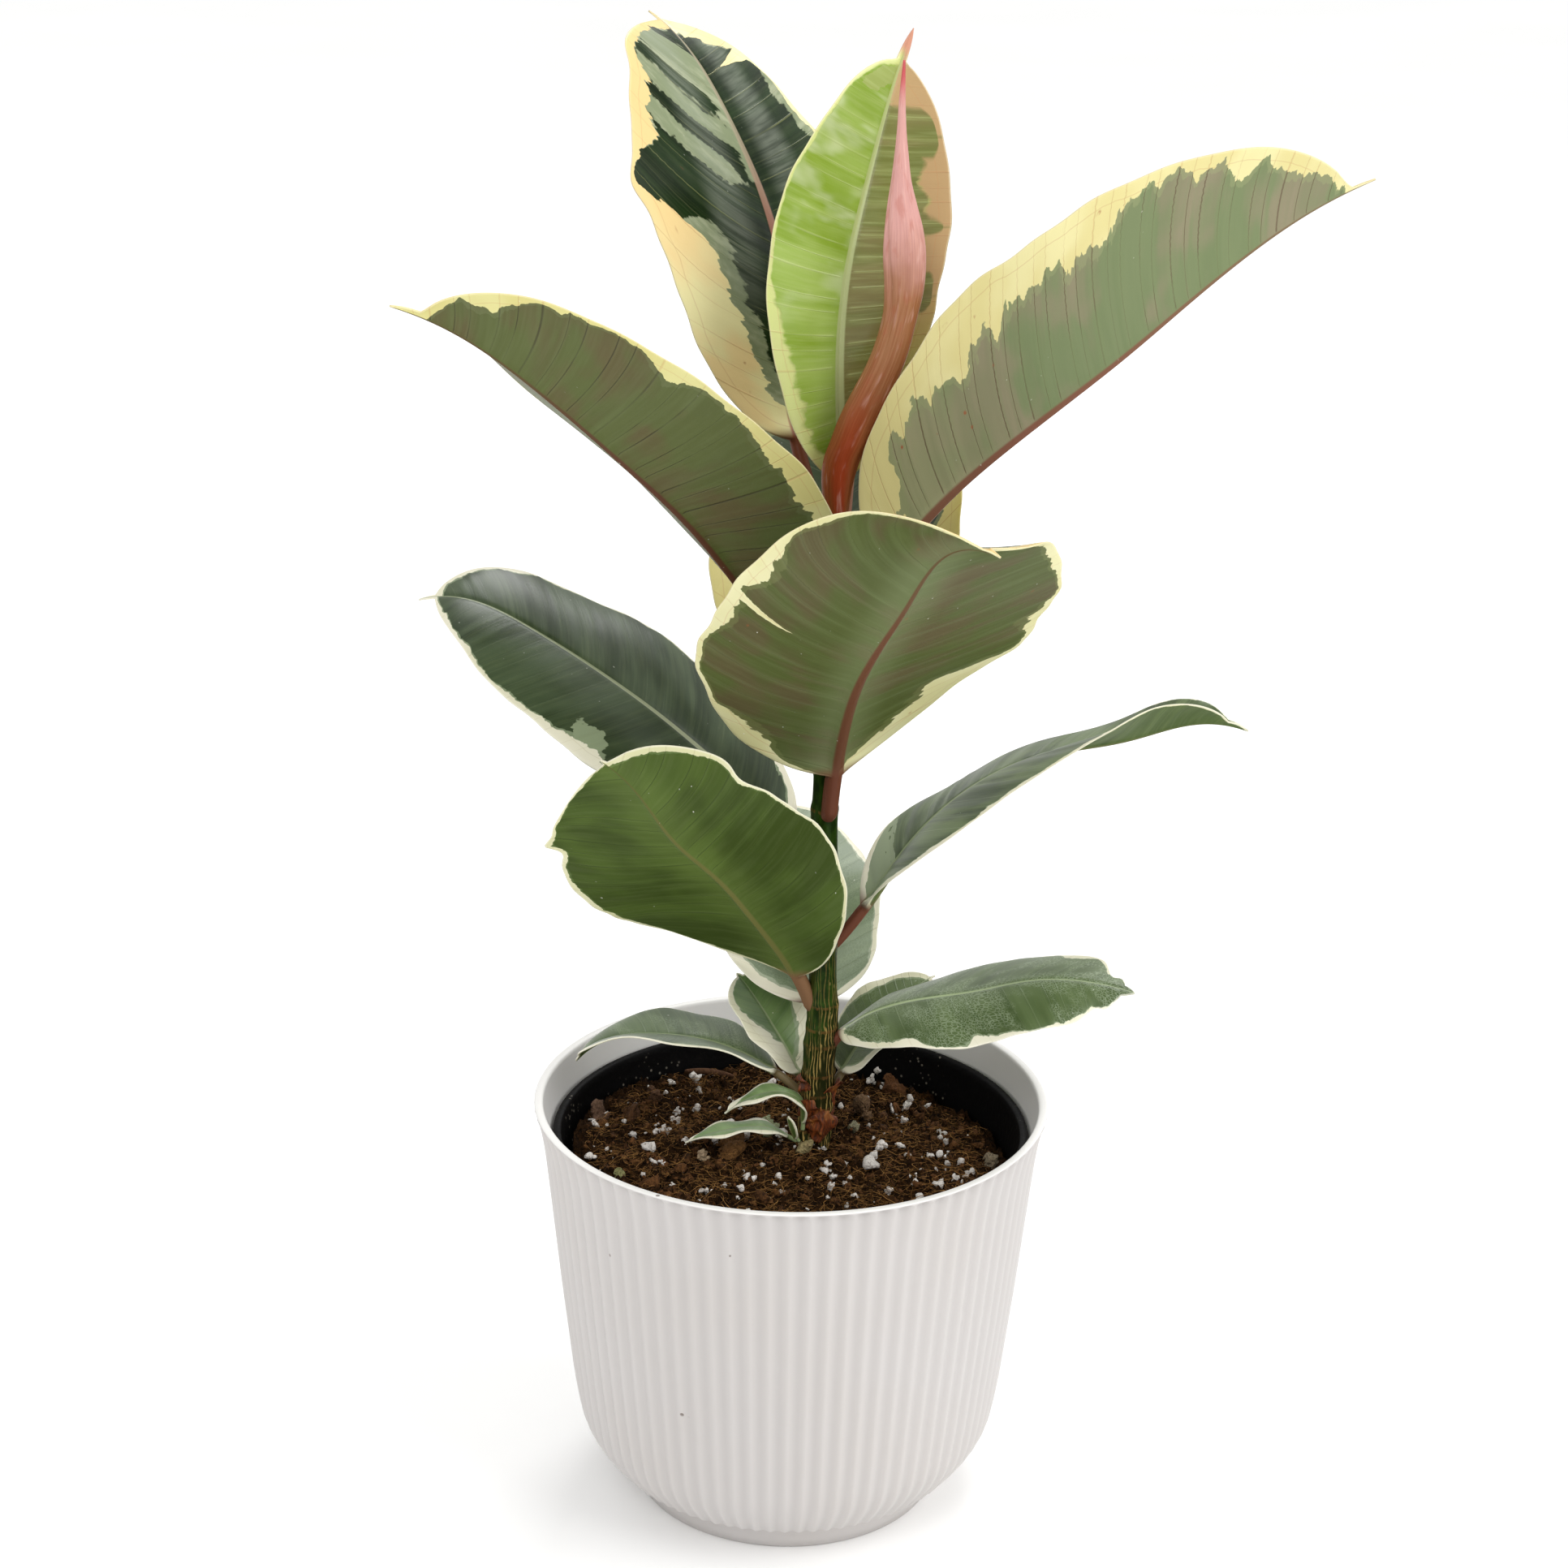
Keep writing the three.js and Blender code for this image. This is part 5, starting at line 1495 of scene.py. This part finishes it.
        # Painted shade along the vein grooves on the upper side, and painted light along the raised
        # veins on the under side.
        soft = self.mix_value(under, look["groove"], look["down_groove"])
        tone = self.mix(under, look["groove_tone"], look["down_groove_tone"])
        green = self.mix(groove * soft, green, tone)
        green = self.mix(
            self.threads.step(0.4, 0.7) * look["threads"], green, look["thread_tone"])
        beside = 1 - self.x.size().step(0.5, 13.0)
        green = self.mix(beside * under * look["beside"], green, look["beside_tone"])
        if look["sheen"]:
            middle, wide, strength = look["sheen"]
            sheen = 1 - ((self.x.size() - middle) / wide).size().step(0.2, 1.0)
            sheen = sheen * self.b.step(0.2, 0.4) * (self.threads.step(0.3, 0.65) * 0.6 + 0.4)
            green = self.mix(sheen * (1 - under) * strength, green, "9fa696")
        # A lighter net on the upper side: partly the leaf's mottled leathery skin, partly painted
        # grey sheen in patches.
        if look["leather_and_sheen"]:
            net = 1 - self.cells(self.spread(8), 1.25, "DISTANCE_TO_EDGE").step(0.0, 0.16)
            painted_sheen_haze = self.noise(self.spread(9), 0.12, 2).step(0.38, 0.6)
            green = self.mix(net * (painted_sheen_haze * look["leather_and_sheen"]) * (1 - under), green, "b2c0a2")
        upper = self.mix(vein * look["vein"], green, look["vein_tone"])
        lower = self.mix(vein * look["down_vein"], green, look["down_vein_tone"])
        return self.mix(under, upper, lower)

    def ribbed(self, colour):
        """The colour with the midrib over it, which takes the blade's tone towards the tip."""
        look, under, rib, b = self.look, self.under, self.rib, self.b
        upper = self.mix(
            b.step(0.3, 0.7) * look["rib_far"], look["rib"], look["rib_tip"] or look["between"])
        lower = self.mix(b.step(0.45, 1.0) * 0.5, look["down_rib"], look["down"][0])
        wide, narrow = 1 - rib.step(0.75, 1.25), 1 - rib.step(0.6, 0.95)
        ridge = self.mix_value(under, narrow * 0.85, wide * 0.9)
        return self.mix(ridge, colour, self.mix(under, upper, lower))

    def paint(self, spacing, jag, petiole):
        """Puts all of it together; spacing is the veins' distance, petiole the usual tone."""
        look, under, inset, cloud = self.look, self.under, self.inset, self.cloud
        near = ((self.v / spacing + 0.5).math("FRACT") - 0.5).size() * spacing
        on_blade = self.rib.step(1.0, 1.8)
        vein = (1 - near.step(0.03, 0.22)) * on_blade * (cloud.step(0.35, 0.6) * 0.7 + 0.3)
        # groove: a soft band along each vein, which carries painted shade and light.
        groove = (1 - near.step(0.1, spacing * 0.25)) * on_blade * self.bands.step(0.3, 0.6)

        green, between = self.borders(jag)
        (upper, upper_rim), (lower, lower_rim) = self.upper_side(between), self.under_side(between)
        veined = self.drawn(self.mix(under, upper, lower), vein, groove)
        line = 1 - (inset - 2.6 - self.fingers * 1.6).size().step(0.05, 0.22)
        lines = (vein + line * 0.7).math("MINIMUM", 1.0) * 0.35
        margin = self.mix(lines, self.mix(under, upper_rim, lower_rim), look["margin_vein"])
        colour = self.mix(green, margin, veined)
        fleck = (1 - self.cells(self.spread(2), 0.16).step(0.03, 0.12)) * self.teeth.step(0.45, 0.6)
        colour = self.mix(fleck * cloud.step(0.5, 0.62) * look["flecks"], colour, "a5502f")

        colour = self.mix((1 - inset.step(0.15, 0.5)) * 0.5, self.ribbed(colour), look["edge"])
        tip = self.b.step(0.925, 0.96) * (1 - inset.step(1.5, 3.5)) * look["tip_share"]
        colour = self.mix(tip, colour, look["tip"])
        colour = self.mix(self.stalk.step(0.25, 0.9), colour, look["petiole"] or petiole)
        dots = 1 - self.cells(self.spread(0), 0.24).step(0.03, 0.055)
        spots = dots * self.noise(self.spread(5), 0.05, 1).step(0.42, 0.6)
        colour = self.mix(spots * look["specks"], colour, "f2f2e6")

        raised = vein * look["vein_bump"] * (1 - under * 2)
        normal = self.bump(self.bands * 0.5 + raised + self.threads * 0.15, 0.0003, 0.5)
        normal = self.bump(self.noise(self.place(), 2600, 2), 0.00005, 0.3, normal)
        rough = look["gloss"] + 0.22 * under + (cloud - 0.5) * 0.12 + 0.08 * self.stalk
        return self.surface(colour, rough, normal, look["shine"])


# Papery old stipules round the foot of the stem, made as small leaves.
SCALE_LOOK = dict(CREAM_LOOK, wave=[0.5, 1.6])
SCALE_SHAPE = dict(
    stalk=0.9, roll=[0], curl=[[25], [25]], shape=[0.45, 0.5, 0.6, 0.04], petiole=1)
SCALES = {
    "base_scale_right": dict(
        SCALE_SHAPE, foot=113, length=14, width=9, heading=[-22], pitch=[55, 85, 75, 25],
        fold=[[15], [15]]),
    "base_scale_front": dict(
        SCALE_SHAPE, foot=113, length=10, width=8, heading=[-112], pitch=[40, 70, 80],
        fold=[[20], [20]]),
    "base_scale_low": dict(
        SCALE_SHAPE, foot=108, length=12, width=13, heading=[-74], pitch=[20, 60, 85, 110],
        fold=[[20], [20]]),
    "base_scale_left": dict(
        SCALE_SHAPE, foot=122, length=6, width=6, heading=[215], pitch=[40, 70, 85],
        fold=[[15], [15]]),
}


def scale_finish():
    """Dry brown paper with darker ribs, and painted highlights in lighter patches."""
    f = Finish("dry_scale_paper")
    x, v, _ = f.field("lay")
    ribs = f.noise(f.vector(x * 2.2, v * 0.35, 1.0), 1.4, 3)
    cloud = f.noise(f.place(), 260, 3)
    base = f.mix(ribs.step(0.35, 0.65), "3d1a07", "843f14")
    # Painted highlights: lighter patches in cloud noise.
    lit = f.mix(cloud.step(0.52, 0.7) * 0.6, base, "b4702c")
    return f.surface(lit, 0.35 + 0.3 * cloud, f.bump(ribs + cloud, 0.0006, 1.0))


def add_leaf(number, name, slot, settings):
    """One leaf, with its veins closer and its border calmer when it is small."""
    leaf, look = LEAVES[name], LOOKS[name]
    length, size = leaf["length"], min(1.0, leaf["length"] / 100)
    spacing = (look["spacing"] or settings.vein_spacing / MM) * max(size, 0.45)
    jag = settings.jag / MM * max(size, 0.25) * look["jag"]
    grid = (round(length / ROW_SPACING), BLADE_COLUMNS) if length > SMALL_LEAF else SMALL_GRID
    points, faces, fields = leaf_skin(
        leaf, look, *grid, settings.thickness / MM, spacing, 3 * number + 1)
    finish = LeafFinish(name + "_skin", look, length, 3.7 * number)
    finish = finish.paint(spacing, jag, settings.petiole)
    piece(name.replace("leaf", "blade"), points, faces, finish, slot, [name], fields)


def add_scale(number, name, slot, paper):
    """One dry scale: a small leaf's skin, crumpled."""
    points, faces, fields = leaf_skin(SCALES[name], SCALE_LOOK, 40, 14, 0.3, 3, 90 + number)
    points = points + 0.3 * ripples(points, 3, 60 + number)[:, None]
    piece(name.replace("base", "dry"), points, faces, paper, slot, [name], {"lay": fields["lay"]})


class PLANT_OT_leaves(bpy.types.Operator):
    """Builds the seventeen leaves, each with its own variegation, and the dry scales"""
    bl_idname = "plant.leaves"
    bl_label = "Leaves"

    def execute(self, context):
        slots = {item["node"]: item["material_slot"] for item in frame["record"]["subparts"]}
        for number, name in enumerate(LEAVES):
            add_leaf(number, name, slots[name], context.scene.plant_leaf)
        paper = scale_finish()
        for number, name in enumerate(SCALES):
            add_scale(number, name, slots[name], paper)
        return {"FINISHED"}


class StageSettings(bpy.types.PropertyGroup):
    eye: bpy.props.FloatVectorProperty(
        name="Camera", description="Place of the camera", subtype="TRANSLATION", unit="LENGTH",
        default=(-0.0033, -0.797, 0.5))
    pitch: bpy.props.FloatProperty(
        name="Downward angle", description="How far the camera looks down", subtype="ANGLE",
        default=math.radians(19.75))
    tilt: bpy.props.FloatProperty(
        name="Tilt", description="How far the camera is turned about its view", subtype="ANGLE",
        default=math.radians(0.86))
    lens: bpy.props.FloatProperty(
        name="Lens", description="Focal length in millimetres on a 36 mm sensor", default=71.26)
    light: bpy.props.FloatProperty(
        name="Light", description="Strength of the studio lights", default=1.0)
    floor: bpy.props.FloatVectorProperty(
        name="Floor", description="Colour of the floor", subtype="COLOR", size=4,
        default=srgb("fefefd"), min=0, max=1)


# Each lamp's name, kind, place in metres, size in metres or angle, and power.
LAMPS = (
    ("key_light", "SUN", (0.95, -0.35, 1.0), math.radians(45), 1.4),
    ("back_softbox", "AREA", (0.35, 1.3, 1.7), 0.8, 11),
    ("front_softbox", "AREA", (-0.6, -1.4, 1.6), 0.9, 11),
)
LAMP_TARGET = (0, 0, 0.22)

# The sky's strength as a light. The camera sees it at full strength.
SKY_LIGHT = 0.75

# The floor's half side in millimetres, and its points along each side.
FLOOR_REACH = 30000.0
FLOOR_POINTS = 33


def floor_finish(colour):
    """Matt pale paper with the faintest mottling."""
    f = Finish("studio_floor")
    cloud = f.noise(f.place(), 3, 2)
    tone = f.mix(cloud.step(0.3, 0.7), shaded(colour, 0.985), colour)
    return f.surface(tone, 0.9, specular=0.1)


def add_camera(settings):
    """The camera: pitched down from the horizon, then turned about its view."""
    camera = bpy.data.cameras.new("studio_camera")
    camera.lens, camera.sensor_width, camera.clip_start = settings.lens, 36, 0.05
    holder = add_object("studio_camera", camera)
    holder.location = settings.eye
    holder.rotation_mode = "XYZ"
    holder.rotation_euler = (math.pi / 2 - settings.pitch, 0, 0)
    bpy.context.view_layer.update()
    holder.rotation_euler.rotate_axis("Z", settings.tilt)
    bpy.context.scene.camera = holder
    bpy.context.view_layer.update()


def add_world(light):
    """A white sky, softer as a light than it looks to the camera."""
    world = bpy.data.worlds.new("studio_world")
    world.use_nodes = True
    sky = Nodes(world.node_tree)
    seen = sky.node("ShaderNodeLightPath").outputs["Is Camera Ray"]
    level = sky.node("ShaderNodeMix", None, {"Factor": seen, "A": SKY_LIGHT * light, "B": 1.0})
    shader = sky.node("ShaderNodeBackground", None, {
        "Color": (1.0, 1.0, 1.0, 1.0), "Strength": level.outputs["Result"]})
    sky.node("ShaderNodeOutputWorld", None, {"Surface": shader.outputs[0]})
    bpy.context.scene.world = world


def add_lamp(name, kind, place, size, power):
    """A sun or a square area lamp that shines at the plant."""
    light = bpy.data.lights.new(name, kind)
    light.energy = power
    if kind == "SUN":
        light.angle = size
    else:
        light.shape, light.size = "SQUARE", size
    lamp = add_object(name, light)
    lamp.location = place
    aim = np.array(LAMP_TARGET) - np.array(place)
    tip = math.atan2(math.hypot(aim[0], aim[1]), -aim[2])
    lamp.rotation_euler = (tip, 0, math.atan2(aim[1], aim[0]) - math.pi / 2)


def add_floor(colour):
    """A level sheet whose points crowd together in the middle, as the cube of even steps."""
    count = FLOOR_POINTS
    line = np.linspace(-1, 1, count) ** 3 * FLOOR_REACH
    x, y = np.meshgrid(line, line)
    points = np.stack([x, y, 0 * x], -1).reshape(-1, 3)
    row, column = np.meshgrid(np.arange(count - 1), np.arange(count - 1), indexing="ij")
    here = (row * count + column).ravel()
    faces = np.stack([here, here + 1, here + count + 1, here + count], -1).tolist()
    mesh = bpy.data.meshes.new("studio_floor")
    mesh.from_pydata((points * MM).tolist(), [], faces)
    mesh.materials.append(floor_finish(colour))
    return add_object("studio_floor", mesh)


class PLANT_OT_stage(bpy.types.Operator):
    """Sets the camera at the photograph's view, with soft studio light and a pale floor"""
    bl_idname = "plant.stage"
    bl_label = "Stage"

    def execute(self, context):
        settings = context.scene.plant_stage
        add_camera(settings)
        add_world(settings.light)
        for *lamp, power in LAMPS:
            add_lamp(*lamp, power * settings.light)
        context.scene.view_settings.view_transform = "Standard"
        ground = add_floor(settings.floor)
        return {"FINISHED"}


class PLANT_PT_panel(bpy.types.Panel):
    """Lists the plant's pieces and their settings"""
    bl_label = "Potted Rubber Plant"
    bl_idname = "PLANT_PT_panel"
    bl_space_type = "VIEW_3D"
    bl_region_type = "UI"
    bl_category = "Plant"

    def draw(self, context):
        for operator, group in ORDER:
            box = self.layout.box()
            box.operator(operator.bl_idname)
            settings = getattr(context.scene, group)
            for key in settings.__annotations__:
                box.prop(settings, key)


ORDER = (
    (PLANT_OT_stage, "plant_stage"), (PLANT_OT_pots, "plant_pot"), (PLANT_OT_soil, "plant_soil"),
    (PLANT_OT_stem, "plant_stem"), (PLANT_OT_leaves, "plant_leaf"),
)
GROUPS = {
    "plant_stage": StageSettings, "plant_pot": PotSettings, "plant_soil": SoilSettings,
    "plant_stem": StemSettings, "plant_leaf": LeafSettings,
}
CLASSES = (*GROUPS.values(), *(operator for operator, _ in ORDER), PLANT_PT_panel)


def register():
    for cls in CLASSES:
        bpy.utils.register_class(cls)
    for key, group in GROUPS.items():
        setattr(bpy.types.Scene, key, bpy.props.PointerProperty(type=group))


def unregister():
    for key in GROUPS:
        delattr(bpy.types.Scene, key)
    for cls in reversed(CLASSES):
        bpy.utils.unregister_class(cls)


def main():
    register()
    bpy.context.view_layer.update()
    for operator, _ in ORDER:
        group, name = operator.bl_idname.split(".")
        getattr(getattr(bpy.ops, group), name)()


if __name__ == "__main__":
    main()
